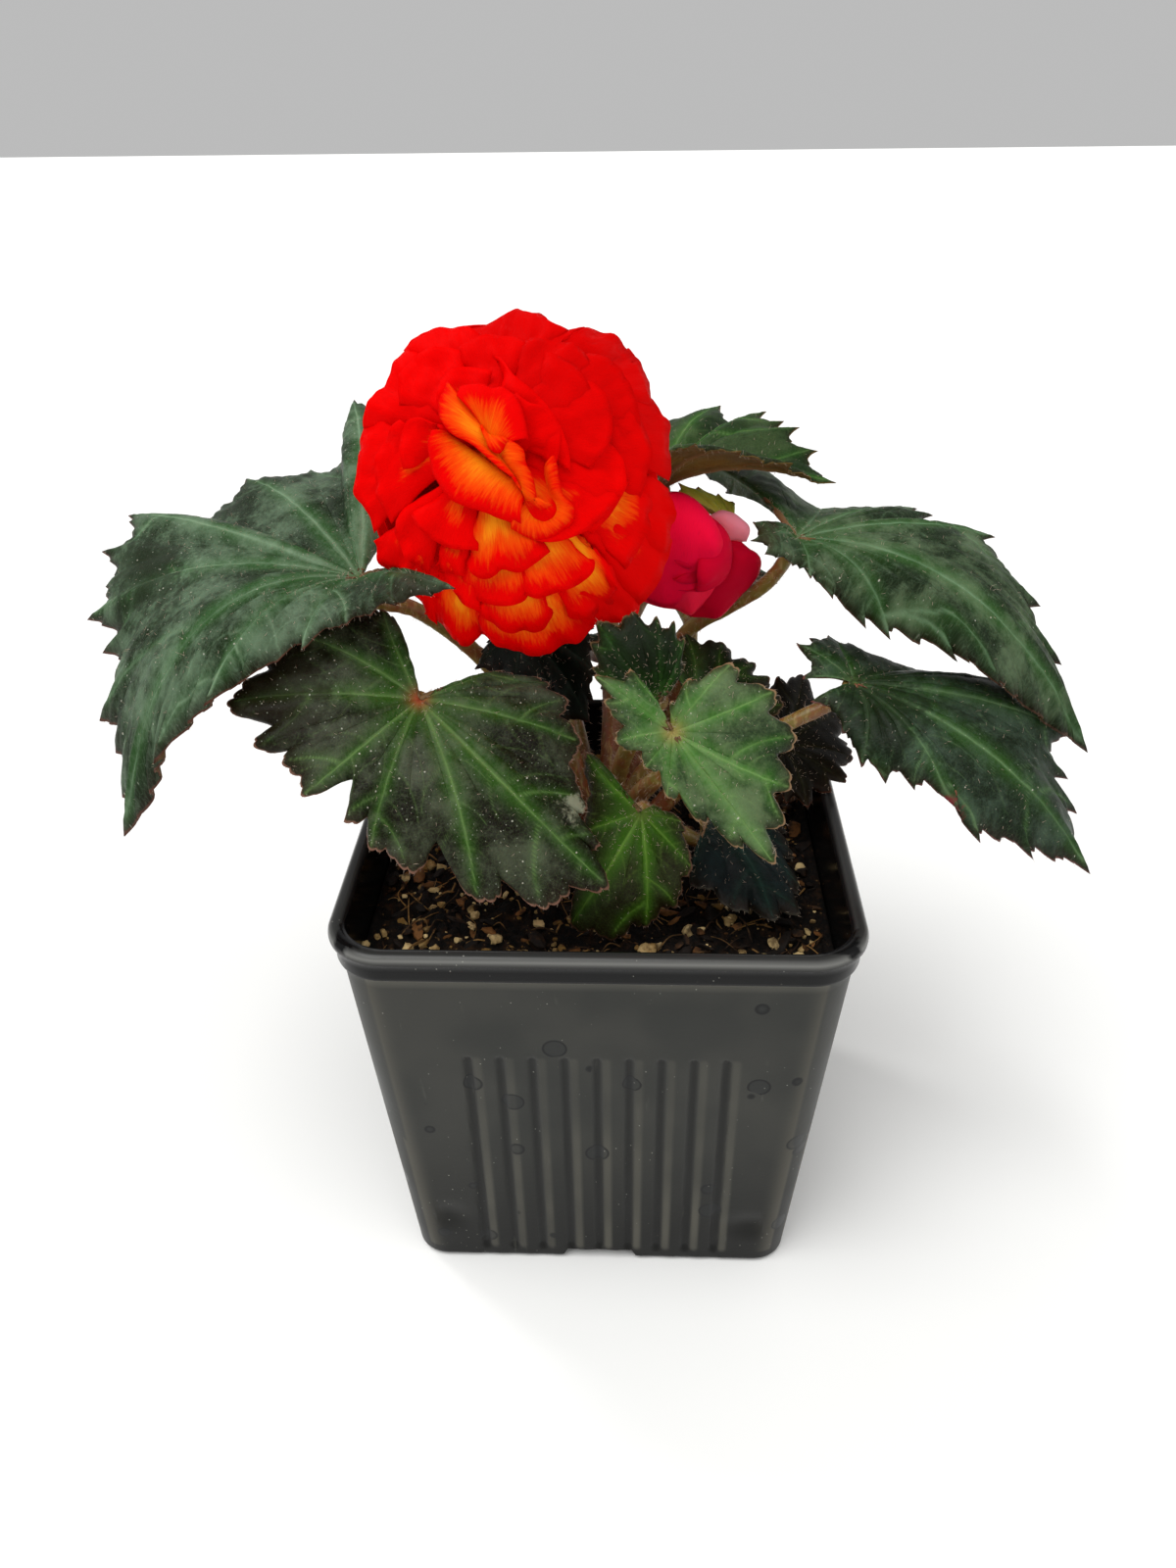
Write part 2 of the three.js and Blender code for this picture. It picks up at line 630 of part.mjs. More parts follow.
// A petal climbs from the flower's base to its rim along a bend, wrapping the axis as it goes. reach
// and rise are the rim's, in mm; width is half the petal's; bulge is how wide the bend swings.
function petal({ reach, rise, width, bulge, ruffle, rows, columns, skew }, bearing, seed) {
  const random = seeded(seed);
  const phase = random() * 6.28;
  const root = new THREE.Vector2(1.5, -9);
  const bend = new THREE.Vector2(reach * bulge, -7 + 0.25 * (rise + 7));
  const sheet = [];
  for (let r = 0; r <= rows; r++) {
    const row = [];
    for (let c = 0; c <= columns; c++) {
      const t = (2 * c) / columns - 1;
      const along = (r / rows) * (1 - 0.16 * t ** 4);
      const [a, b, d] = [(1 - along) ** 2, 2 * along * (1 - along), along ** 2];
      const out = a * root.x + b * bend.x + d * reach;
      const height = a * root.y + b * bend.y + d * rise + ruffle * Math.sin(4 * t + phase) * along ** 2;
      const spread = (width * (0.35 + 0.65 * Math.sin(Math.PI * (0.1 + 0.55 * along)))) / out;
      const angle = bearing + Math.min(1.25, spread) * t;
      const lean = height - root.y;
      row.push(
        new THREE.Vector3(
          out * Math.cos(angle) + skew[0] * lean,
          out * Math.sin(angle) + skew[1] * lean,
          height,
        ),
      );
    }
    sheet.push(row);
  }
  return toManifold(thicken(sheet, PETAL_THICK));
}

// The guard petals make the bumps of the bloom's outline: [bearing, reach, rise].
const GUARDS = [
  [88, 34, -6], [134, 32, -7], [180, 31.5, -6], [250, 33.5, -7], [313, 34, -6], [17, 31, -7],
  [50, 32.5, -2], [112, 32, -2], [208, 31, -2], [278, 34.5, -2], [335, 32, -2],
];
// The petals inside them, whorl by whorl.
const WHORLS = [
  { count: 6, reach: 28, rise: 5, width: 14, bulge: 0.92, turn: 4, ruffle: 2, rows: 3, columns: 4 },
  { count: 6, reach: 22, rise: 10, width: 12, bulge: 0.9, turn: 36, ruffle: 2, rows: 3, columns: 4 },
  { count: 5, reach: 16, rise: 14, width: 10, bulge: 0.9, turn: 12, ruffle: 1.8, rows: 3, columns: 4 },
  { count: 4, reach: 10, rise: 17, width: 8, bulge: 0.8, turn: 50, ruffle: 1.2, rows: 3, columns: 4 },
  { count: 2, reach: 4.5, rise: 18, width: 5, bulge: 0.7, turn: 62, ruffle: 0.6, rows: 3, columns: 3 },
];
const BUD_WHORLS = [
  { count: 3, reach: 4, rise: 13, width: 13, bulge: 4.8, turn: 20, ruffle: 0.4, rows: 4, columns: 4 },
  { count: 3, reach: 10, rise: 10, width: 13, bulge: 2.3, turn: 80, ruffle: 1, rows: 4, columns: 4 },
];

function whorled(whorls, skew) {
  return whorls.flatMap((whorl, w) =>
    Array.from({ length: whorl.count }, (_, i) =>
      petal({ ...whorl, skew }, degrees(whorl.turn + (360 * i) / whorl.count), 17 * w + i),
    ),
  );
}

// The flower's base, which the petals spring from: a flattened ball.
function receptacle(radius) {
  const ball = new THREE.SphereGeometry(radius, 12, 8);
  ball.scale(1, 1, 0.7);
  ball.translate(0, 0, -13 + 0.7 * radius);
  return toManifold(ball);
}

function makeBloom() {
  const guards = GUARDS.map(([bearing, reach, rise], i) => {
    const form = { reach, rise, width: 14, bulge: 0.95, ruffle: 1.8, rows: 4, columns: 5 };
    return petal({ ...form, skew: BLOOM.skew }, degrees(bearing), 90 + i);
  });
  return union([receptacle(BLOOM.core), ...guards, ...whorled(WHORLS, BLOOM.skew)]);
}

function makeBud() {
  return union([receptacle(BUD.core), ...whorled(BUD_WHORLS, [0, 0])]);
}

// ---------------------------------------------------------------- the plant

const group = new THREE.Group();
group.name = "potted_begonia";

function addPiece(name, geometry, colour, roughness, metalness = 0) {
  const material = new THREE.MeshStandardMaterial({ color: colour, roughness, metalness });
  const mesh = new THREE.Mesh(geometry, material);
  mesh.name = name;
  group.add(mesh);
  return mesh;
}

const blades = {};
for (const [name, leaf] of Object.entries(LEAVES)) blades[name] = photographed(leaf);
for (const [name, leaf] of Object.entries(BACK_LEAVES)) blades[name] = unseen(leaf);

// The flowers, each by the middle of its disc and the way it faces.
const bloomAt = seenAtDepth(527, 490, -12);
const bloomFacing = leaning(...BLOOM.facing);
const budAt = seenAtDepth(706, 566, 17);
const budFacing = leaning(...BUD.facing);

// A flower stalk straightens `lead` mm behind the middle of the flower's disc, and ends at the
// flower's base, 13 mm behind it.
function flowerStalk(bends, lead, at, facing) {
  const points = bends.map((p) => new THREE.Vector3(...p));
  const near = at.clone().addScaledVector(facing, -lead);
  const end = at.clone().addScaledVector(facing, -13 - GAP);
  return stalk([...points, near, end], STALK.foot, STALK.tip);
}

addPiece("pot", toGeometry(makePot()), 0x2b2c2b, 0.45);
addPiece("soil", toGeometry(makeSoil(tuber(GAP, SOIL_TOP + 12))), 0x2a2019, 0.95);

const stalks = Object.keys(STALK_BENDS).map((name) => leafStalk(name, blades[name]));
stalks.push(flowerStalk([[1, 3, 93], [2, 14, 130], [0, 20, 155]], 21, bloomAt, bloomFacing));
stalks.push(flowerStalk([[2, 14, 130], [9, 26, 149], [25, 34, 160]], 16, budAt, budFacing));
addPiece("stems", toGeometry(union([tuber(0, TUBER.crown), ...stalks])), 0x7a4a35, 0.6);

for (const [name, leaf] of Object.entries(blades)) {
  addPiece(name, toGeometry(makeBlade(name, leaf)), GREENS[name] ?? 0x30422e, 0.55);
}

const upright = new THREE.Vector3(0, 0, 1);
const bloom = addPiece("bloom", toGeometry(makeBloom()), 0xe8321c, 0.5);
bloom.position.copy(bloomAt);
bloom.quaternion.setFromUnitVectors(upright, bloomFacing);
const bud = addPiece("bud", toGeometry(makeBud()), 0xc01538, 0.5);
bud.position.copy(budAt);
bud.quaternion.setFromUnitVectors(upright, budFacing);

export default group;
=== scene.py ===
"""A potted tuberous begonia: the fine pieces that stand for the solids, their materials, light and camera.

Lengths are in millimetres until a mesh is made. The origin is the middle of the pot's underside.
"""

import math

import bpy
import numpy as np
from mathutils import Matrix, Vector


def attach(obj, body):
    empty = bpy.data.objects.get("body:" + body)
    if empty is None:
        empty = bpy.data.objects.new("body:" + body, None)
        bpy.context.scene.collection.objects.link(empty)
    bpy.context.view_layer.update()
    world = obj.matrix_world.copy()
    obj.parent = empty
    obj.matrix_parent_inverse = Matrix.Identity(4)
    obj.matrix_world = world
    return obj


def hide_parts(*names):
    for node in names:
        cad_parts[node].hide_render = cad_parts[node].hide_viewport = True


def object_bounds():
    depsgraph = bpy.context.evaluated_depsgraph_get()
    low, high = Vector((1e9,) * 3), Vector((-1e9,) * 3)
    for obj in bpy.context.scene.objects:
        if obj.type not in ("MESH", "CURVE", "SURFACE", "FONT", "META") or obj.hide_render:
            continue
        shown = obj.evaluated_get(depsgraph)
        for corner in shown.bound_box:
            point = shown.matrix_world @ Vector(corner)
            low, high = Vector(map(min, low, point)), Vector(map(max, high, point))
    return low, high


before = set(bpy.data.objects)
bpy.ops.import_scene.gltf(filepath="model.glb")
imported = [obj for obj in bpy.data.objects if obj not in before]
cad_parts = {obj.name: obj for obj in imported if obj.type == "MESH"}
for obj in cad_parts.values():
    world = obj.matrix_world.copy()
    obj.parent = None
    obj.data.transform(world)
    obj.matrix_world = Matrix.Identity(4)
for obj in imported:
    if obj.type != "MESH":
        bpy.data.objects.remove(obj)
CAD_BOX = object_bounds()

MM = 0.001

# ---------------------------------------------------------------- sizes, as in the part's source

POT = {
    "rim_half": 57.0,
    "rim_inner": 53.4,
    "collar_half": 55.6,
    "wall_half": 55.1,
    "base_half": 46.4,
    "corner": 11.0,
    "base_corner": 8.0,
    "height": 106.0,
    "lip_foot": 103.0,
    "collar_foot": 98.0,
    "wall": 1.2,
}
FLUTES = {"count": 9, "pitch": 7.1, "width": 2.4, "depth": 0.6, "land": 0.22, "top": 75.0, "bottom": 4.0}
NOTCH = {"top": 16.0, "bottom": 19.5, "height": 3.6, "depth": 11.0, "drain": 3.5}
SOIL_TOP = 92.0
NECK = 9.5  # the radius of the tuber's neck, where it leaves the soil
# The tuber and its neck from below, by radius and height.
TUBER = (
    (0.3, 63), (10.5, 65), (17, 74), (13.6, 82), (NECK, 85), (9.3, 91), (8.6, 95), (6.5, 97.3), (0.3, 98),
)
BLADE = {"half_thick": 0.3, "arch": 0.09, "notch": 0.045, "pucker": 0.45}
STALK = {"foot": 2.6, "tip": 1.5, "sides": 18}
HAIR_WIDTH = 0.07

# ---------------------------------------------------------------- the viewpoint

IMAGE = (1200, 1600)
FOCAL = 1270.0  # pixels
EYE = np.array([7.2, -251.9, 268.0])
YAW, PITCH, ROLL = np.radians([-2.37, 31.64, -0.8])


def view_axes():
    forward = np.array(
        [math.sin(YAW) * math.cos(PITCH), math.cos(YAW) * math.cos(PITCH), -math.sin(PITCH)]
    )
    level = np.array([math.cos(YAW), -math.sin(YAW), 0.0])
    upright = np.cross(level, forward)
    right = level * math.cos(ROLL) + upright * math.sin(ROLL)
    up = upright * math.cos(ROLL) - level * math.sin(ROLL)
    return forward, right, up


FORWARD, RIGHT, UP = view_axes()


def sight_line(px, py):
    return FORWARD * FOCAL + RIGHT * (px - IMAGE[0] / 2) + UP * (IMAGE[1] / 2 - py)


def pixel_of(points):
    away = points - EYE
    share = FOCAL / (away @ FORWARD)
    return IMAGE[0] / 2 + away @ RIGHT * share, IMAGE[1] / 2 - away @ UP * share


def seen_at_depth(px, py, depth):
    """The point seen at a pixel where y is the given depth."""
    line = sight_line(px, py)
    return EYE + line * ((depth - EYE[1]) / line[1])


def leaning(heading, tilt):
    """A direction tilted from upright, towards a heading measured from the viewer's side, in degrees."""
    h, t = np.radians([heading, tilt])
    return np.array([math.sin(t) * math.sin(h), -math.sin(t) * math.cos(h), math.cos(t)])


def unit(v):
    return v / np.maximum(np.linalg.norm(v, axis=-1, keepdims=True), 1e-12)


def smooth(x, low, high):
    t = np.clip((x - low) / (high - low), 0, 1)
    return t * t * (3 - 2 * t)


# ---------------------------------------------------------------- meshes


def within_box(points):
    """Points kept inside the box of the solids, so that the plant keeps its size."""
    low, high = np.array(CAD_BOX) / MM
    return np.clip(points, low + 0.02, high - 0.02)


def new_object(name, points, faces):
    """An object with one mesh, from points in mm and blocks of faces."""
    mesh = bpy.data.meshes.new(name)
    mesh.from_pydata((points * MM).tolist(), [], [face for block in faces for face in block.tolist()])
    made = bpy.data.objects.new(name, mesh)
    bpy.context.scene.collection.objects.link(made)
    return made


def add_field(mesh, name, values):
    kind, field = ("FLOAT", "value") if values.ndim == 1 else ("FLOAT_VECTOR", "vector")
    mesh.attributes.new(name, kind, "POINT").data.foreach_set(field, values.astype(np.float32).ravel())


def finish_piece(piece, material, node=None, crisp=None):
    """Shades a piece, sharp where faces meet at more than `crisp` degrees, gives it its material, sets it
    under the root body and hides the solid it stands for.
    """
    mesh = piece.data
    mesh.shade_smooth()
    if crisp:
        mesh.set_sharp_from_angle(angle=math.radians(crisp))
    mesh.materials.clear()
    mesh.materials.append(material)
    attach(piece, "root")
    if node:
        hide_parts(node)


class Skin:
    """Points in mm, faces, point attributes and corner UVs, gathered before they become one mesh."""

    def __init__(self):
        self.points, self.faces, self.uvs, self.fields, self.count = [], [], [], {}, 0

    def add(self, points, faces, layouts=(), **fields):
        """Takes blocks of faces, each with its own flat layout if it has one, and fields by point."""
        points = np.asarray(points, float).reshape(-1, 3)
        self.points.append(points)
        self.faces += [np.asarray(block, int) + self.count for block in faces]
        self.uvs += [layout[block].reshape(-1, 2) for block, layout in zip(faces, layouts)]
        for key, value in fields.items():
            full = np.broadcast_to(value, (len(points), *np.shape(value)[1:]))
            self.fields.setdefault(key, []).append(full)
        self.count += len(points)

    def build(self, name, material, slot, node=None, crisp=None):
        piece = new_object(name, within_box(np.concatenate(self.points)), self.faces)
        for key, blocks in self.fields.items():
            add_field(piece.data, key, np.concatenate(blocks))
        if self.uvs:
            layer = piece.data.uv_layers.new(name="OFBake")
            layer.data.foreach_set("uv", np.concatenate(self.uvs).astype(np.float32).ravel())
        finish_piece(piece, material, node, crisp)


def grid_faces(rows, columns, closed=False):
    """Quads between rows of points; closed joins each row's last point to its first."""
    r = np.arange(rows - 1)[:, None]
    c = np.arange(columns if closed else columns - 1)[None, :]
    here, there = r * columns + c, r * columns + (c + 1) % columns
    return np.stack([here, here + columns, there + columns, there], -1).reshape(-1, 4)


def sheet_normals(sheet):
    """Normals of rows x columns points, pointing to the side where rows then columns turn left."""
    along = np.gradient(sheet, axis=0)
    across = np.gradient(sheet, axis=1)
    return unit(np.cross(along, across))


def closed_loft(rings):
    """Rings of equal counts skinned, the first and last capped to their middles: (points, faces)."""
    count = len(rings[0])
    points = np.vstack([*rings, rings[0].mean(0), rings[-1].mean(0)])
    here = np.arange(count)
    after = (here + 1) % count
    last = (len(rings) - 1) * count
    foot = np.stack([np.full(count, len(points) - 2), after, here], -1)
    top = np.stack([np.full(count, len(points) - 1), last + here, last + after], -1)
    # Rings follow each other upwards and turn left, so the quads are turned to face out.
    return points, [grid_faces(len(rings), count, True)[:, ::-1], foot, top]


def polar(out, angle, height):
    """Points by their distance from the upright axis, their angle round it and their height."""
    return np.stack(np.broadcast_arrays(out * np.cos(angle), out * np.sin(angle), height), -1)


def whole_turn(count):
    return np.linspace(0, 2 * math.pi, count, endpoint=False)


def spin(angle):
    return np.array([[math.cos(angle), -math.sin(angle)], [math.sin(angle), math.cos(angle)]])


OFF_SIDE = 1e3  # the offset given to points on a rounded corner, past any side
POT_GRAIN, SOIL_GRAIN = (180, 16), (60, 20)  # points on a side and on a corner


def rounded_square(half, radius, z, per_side=40, per_corner=10):
    """A rounded square seen from above, anticlockwise, and how far each point is along its side."""
    arc = np.linspace(0, math.pi / 2, per_corner, endpoint=False)
    bend = (half - radius) + radius * np.stack([np.cos(arc), np.sin(arc)], -1)
    reach = np.linspace(half - radius, radius - half, per_side, endpoint=False)
    quarter = np.concatenate([bend, np.stack([reach, np.full(per_side, half)], -1)])
    flat = np.concatenate([quarter @ spin(corner * math.pi / 2).T for corner in range(4)])
    offsets = np.tile(np.concatenate([np.full(per_corner, OFF_SIDE), reach]), 4)
    return np.column_stack([flat, np.full(len(flat), z)]), offsets


def hermite(t, a, leaving, b, arriving):
    """The cubic from a to b with the given slopes at its ends."""
    from_a = (2 * t**3 - 3 * t**2 + 1) * a + (t**3 - 2 * t**2 + t) * leaving
    return from_a + (3 * t**2 - 2 * t**3) * b + (t**3 - t**2) * arriving


def run_along(line):
    """How far each point of a line is from its first, along the line."""
    return np.concatenate([[0], np.cumsum(np.linalg.norm(np.diff(line, axis=0), axis=1))])


def curve_through(points, spacing=None, count=None):
    """Centripetal Catmull-Rom through points, sampled evenly along its length."""
    p = np.asarray(points, float)
    p = np.vstack([2 * p[0] - p[1], p, 2 * p[-1] - p[-2]])
    t = np.linspace(0, 1, 40, endpoint=False)[:, None]
    fine = []
    for i in range(len(p) - 3):
        a, b, c, d = p[i : i + 4]
        d0, d1, d2 = (np.linalg.norm(v) ** 0.5 for v in (b - a, c - b, d - c))
        m1 = ((b - a) / d0 - (c - a) / (d0 + d1) + (c - b) / d1) * d1
        m2 = ((c - b) / d1 - (d - b) / (d1 + d2) + (d - c) / d2) * d1
        fine.append(hermite(t, b, m1, c, m2))
    fine = np.vstack([*fine, p[-2:-1]])
    run = run_along(fine)
    count = count or max(2, int(run[-1] / spacing))
    even = np.linspace(0, run[-1], count + 1)
    return np.column_stack([np.interp(even, run, fine[:, k]) for k in range(3)])


def carried_frames(line):
    """Two directions across a line that turn with it and don't twist."""
    tangent = unit(np.gradient(line, axis=0))
    across = np.cross(tangent[0], [0.3, 0.9, 0.1])
    sides = []
    for t in tangent:
        across = unit(across - t * (across @ t))
        sides.append((across, np.cross(t, across)))
    return np.swapaxes(sides, 0, 1)


def rings_round(first, second, count):
    """Unit vectors all round each point of a line, from two directions across it."""
    angle = whole_turn(count)[None, :, None]
    return first[:, None] * np.cos(angle) + second[:, None] * np.sin(angle)


def tube(line, radii, sides):
    """A round tube with both ends closed to a point: (points, faces)."""
    radii = np.broadcast_to(radii, (len(line),))[:, None, None]
    return closed_loft(line[:, None] + rings_round(*carried_frames(line), sides) * radii)


def grow_hairs(roots, directions, lengths, bend=0.25):
    """Thin three-sided spikes, each bent a little: two segments from root to point."""
    directions = unit(directions)
    helper = np.where(np.abs(directions[:, 2:]) < 0.9, [[0.0, 0.0, 1.0]], [[1.0, 0.0, 0.0]])
    across = unit(np.cross(directions, helper))
    ring = rings_round(across, np.cross(directions, across), 3) * HAIR_WIDTH
    lengths = lengths[:, None]
    sag = across * lengths * bend
    middle = roots + directions * lengths * 0.55 + sag * 0.3
    tip = roots + directions * lengths + sag
    points = np.concatenate([roots[:, None] + ring / 2, middle[:, None] + ring * 0.36, tip[:, None]], axis=1)
    base = (np.arange(len(roots)) * 7)[:, None]
    quads = [base + np.array([k, (k + 1) % 3, 3 + (k + 1) % 3, 3 + k]) for k in range(3)]
    tris = [base + np.array([3 + k, 3 + (k + 1) % 3, 6]) for k in range(3)]
    HAIRS.add(points, [np.vstack(quads), np.vstack(tris)])


HAIRS = Skin()


def value_noise(points, scale, seed):
    """Smooth noise from -1 to 1 on points in mm, with features of about `scale` mm."""
    random = np.random.default_rng(seed)
    total = np.zeros(len(points))
    for _ in range(10):
        wave = unit(random.normal(size=points.shape[1]))
        pitch, phase = random.uniform(0.6, 1.5), random.uniform(0, 6.3)
        total += np.sin(points @ wave * (2 * math.pi / scale) * pitch + phase)
    return total / 3.2


# ---------------------------------------------------------------- materials


def colour(code):
    """A linear colour with alpha from an sRGB hex code."""
    parts = [int(code[i : i + 2], 16) / 255 for i in (0, 2, 4)]
    return (*[v / 12.92 if v <= 0.04045 else ((v + 0.055) / 1.055) ** 2.4 for v in parts], 1.0)


class Look:
    """A procedural material: each method adds a node and returns its output."""

    def __init__(self, name, **constants):
        self.material = bpy.data.materials.new(name)
        self.material.use_nodes = True
        self.tree = self.material.node_tree
        self.shader = self.tree.nodes["Principled BSDF"]
        for socket, value in constants.items():
            self.shader.inputs[socket.replace("_", " ")].default_value = value

    def feed(self, socket, value):
        """Links a node's output to a socket, or sets the socket to a plain value."""
        if isinstance(value, bpy.types.NodeSocket):
            self.tree.links.new(value, socket)
        else:
            socket.default_value = value

    def add(self, kind, inputs=None, **settings):
        node = self.tree.nodes.new(kind)
        for key, value in settings.items():
            setattr(node, key, value)
        for socket, value in (inputs or {}).items():
            self.feed(node.inputs[socket], value)
        return node

    def place(self):
        return self.add("ShaderNodeTexCoord").outputs["Object"]

    def field(self, name):
        return self.add("ShaderNodeAttribute", attribute_name=name).outputs["Fac"]

    def place_by(self, name):
        return self.add("ShaderNodeAttribute", attribute_name=name).outputs["Vector"]

    def noise(self, at, scale, detail=3.0, rough=0.55, bend=0.0):
        inputs = {"Vector": at, "Scale": scale, "Detail": detail, "Roughness": rough, "Distortion": bend}
        return self.add("ShaderNodeTexNoise", inputs).outputs[0]

    def cells(self, at, scale, feature="F1", spread=1.0):
        inputs = {"Vector": at, "Scale": scale, "Randomness": spread}
        return self.add("ShaderNodeTexVoronoi", inputs, feature=feature)

    def stretch(self, at, scale):
        inputs = {"Vector": at, "Scale": scale}
        return self.add("ShaderNodeMapping", inputs).outputs[0]

    def ramp(self, value, low, high, start=0.0, end=1.0):
        inputs = {"Value": value, "From Min": low, "From Max": high, "To Min": start, "To Max": end}
        return self.add("ShaderNodeMapRange", inputs, interpolation_type="SMOOTHSTEP").outputs[0]

    def sum(self, a, b, operation="ADD"):
        node = self.add("ShaderNodeMath", operation=operation)
        self.feed(node.inputs[0], a)
        self.feed(node.inputs[1], b)
        return node.outputs[0]

    def times(self, a, b):
        return self.sum(a, b, "MULTIPLY")

    def mix(self, share, a, b, blend="MIX"):
        node = self.add("ShaderNodeMix", data_type="RGBA", blend_type=blend)
        for index, value in ((0, share), (6, a), (7, b)):
            self.feed(node.inputs[index], value)
        return node.outputs[2]

    def blend(self, share, a, b):
        return self.mix(share, colour(a), colour(b))

    def over(self, base, share, code):
        return self.mix(share, base, colour(code))

    def swing(self, value, size):
        """A noise from 0 to 1 turned into one round 0, of a given size."""
        return self.times(self.sum(value, -0.5), size)

    def chance(self, cells):
        """A number from 0 to 1 for each cell."""
        return self.add("ShaderNodeSeparateColor", {"Color": cells.outputs["Color"]}).outputs[0]

    def bump(self, height, distance, strength=1.0):
        inputs = {"Height": height, "Distance": distance * MM, "Strength": strength}
        return self.add("ShaderNodeBump", inputs).outputs[0]

    def finish(self, **links):
        for socket, value in links.items():
            self.feed(self.shader.inputs[socket.replace("_", " ")], value)
        return self.material


def pot_look():
    look = Look("pot_plastic", Specular_IOR_Level=0.18)
    at = look.place()
    broad = look.noise(at, 40, 2)
    fine = look.noise(at, 900, 2)
    height = look.add("ShaderNodeSeparateXYZ", {"Vector": at}).outputs["Z"]
    groove, painted_highlight, lip = look.field("groove"), look.field("painted_highlight"), look.field("lip")
    base = look.blend(look.ramp(broad, 0.3, 0.7), "2b2c29", "373733")
    base = look.over(base, look.ramp(height, 0.065, 0.0), "10100e")
    # Painted highlight: a warm light stripe down each rounded corner.
    corner = look.ramp(look.field("corner"), 0.0, 1.0)
    base = look.over(base, look.times(corner, 0.5), "5a5649")
    # A painted highlight on the land beside each groove, broken up by the broad noise.
    base = look.over(base, look.times(painted_highlight, look.ramp(broad, 0.2, 0.8, 0.3, 0.75)), "5c5a50")
    # The grooves are darkened: painted shade in the recesses, with dirt in them.
    base = look.over(base, look.times(groove, 0.72), "0b0b0a")
    # Dried drops leave dark rings and patches, and dust leaves pale specks.
    drops = look.cells(at, 110)
    size = look.ramp(look.chance(drops), 0.4, 1.0, 0.02, 0.34)
    within = look.sum(size, drops.outputs["Distance"], "SUBTRACT")
    middle = look.ramp(within, 0.0, 0.04)
    ring = look.times(middle, look.ramp(within, 0.09, 0.04))
    base = look.over(base, look.times(middle, 0.5), "15181b")
    base = look.over(base, look.times(ring, 0.8), "08090a")
    scuffs = look.noise(look.stretch(at, (1, 1, 0.15)), 420, 3)
    base = look.over(base, look.times(look.ramp(scuffs, 0.66, 0.8), 0.3), "5a5a52")
    dust = look.ramp(look.cells(at, 520).outputs["Distance"], 0.1, 0.05)
    specks = look.times(dust, look.ramp(look.noise(at, 70, 2), 0.52, 0.6))
    base = look.over(base, lip, "0a0a0b")
    # A painted highlight along the top of the lip.
    base = look.over(base, look.times(look.times(painted_highlight, lip), 0.6), "8c8c88")
    base = look.over(base, look.times(specks, 0.8), "9a9a90")
    matt = look.ramp(look.sum(broad, look.times(middle, -0.35)), 0.1, 0.9, 0.32, 0.5)
    rough = look.sum(matt, look.times(lip, -0.2))
    normal = look.bump(look.sum(fine, look.times(broad, 2.0)), 0.05, 0.4)
    return look.finish(Base_Color=base, Roughness=rough, Normal=normal)


def soil_look():
    look = Look("potting_mix", Specular_IOR_Level=0.2)
    at = look.place()
    grain = look.noise(at, 700, 5, 0.65)
    clump = look.noise(at, 190, 4)
    base = look.blend(look.ramp(grain, 0.4, 0.75), "040302", "23160c")
    base = look.over(base, look.times(look.ramp(clump, 0.55, 0.72), 0.5), "4a3018")
    crumbs = look.cells(at, 620)
    pale = look.times(look.ramp(crumbs.outputs["Distance"], 0.2, 0.1), look.ramp(clump, 0.5, 0.62))
    base = look.over(base, look.times(pale, 0.7), "8a6a42")
    normal = look.bump(look.sum(grain, look.times(clump, 0.6)), 1.1, 1.0)
    return look.finish(Base_Color=base, Roughness=0.85, Normal=normal)


def crumb_look(name, dark, light, dirt, scale, rough):
    look = Look(name, Specular_IOR_Level=0.25)
    at = look.place()
    grain = look.noise(at, scale, 4, 0.6)
    pits = look.cells(at, scale * 1.6)
    tone = look.sum(look.times(look.field("tone"), 0.8), look.swing(grain, 0.9))
    base = look.blend(look.ramp(tone, 0.1, 0.8), dark, light)
    smears = look.ramp(look.noise(at, scale * 0.55, 4, 0.7), 0.48, 0.62)
    base = look.over(base, look.times(smears, 0.8), dirt)
    normal = look.bump(look.sum(grain, look.times(pits.outputs["Distance"], 0.5)), 0.35, 0.9)
    return look.finish(Base_Color=base, Roughness=rough, Normal=normal)


def stalk_look():
    look = Look("stalk", Specular_IOR_Level=0.45, Subsurface_Weight=0.12, Subsurface_Scale=0.002)
    at = look.place()
    run = look.field("run")
    streak = look.noise(look.stretch(at, (1, 1, 0.25)), 900, 3)
    mottled = look.noise(at, 260, 3)
    base = look.blend(look.ramp(run, 0.1, 0.7), "6a3a1c", "7c6a2c")
    base = look.over(base, look.times(look.ramp(mottled, 0.42, 0.62), 0.6), "8a4226")
    base = look.over(base, look.times(look.ramp(streak, 0.5, 0.72), 0.55), "b09a60")
    rind = look.blend(look.ramp(mottled, 0.35, 0.7), "2a1a10", "5c3c22")
    base = look.mix(look.field("bark"), base, rind)
    normal = look.bump(look.sum(streak, mottled), 0.12, 0.5)
    return look.finish(Base_Color=base, Roughness=0.42, Normal=normal)


def hair_look():
    look = Look("hairs", Specular_IOR_Level=0.5)
    at = look.place()
    base = look.blend(look.noise(at, 30, 1), "c9b8a2", "b89a86")
    return look.finish(Base_Color=base, Roughness=0.5)


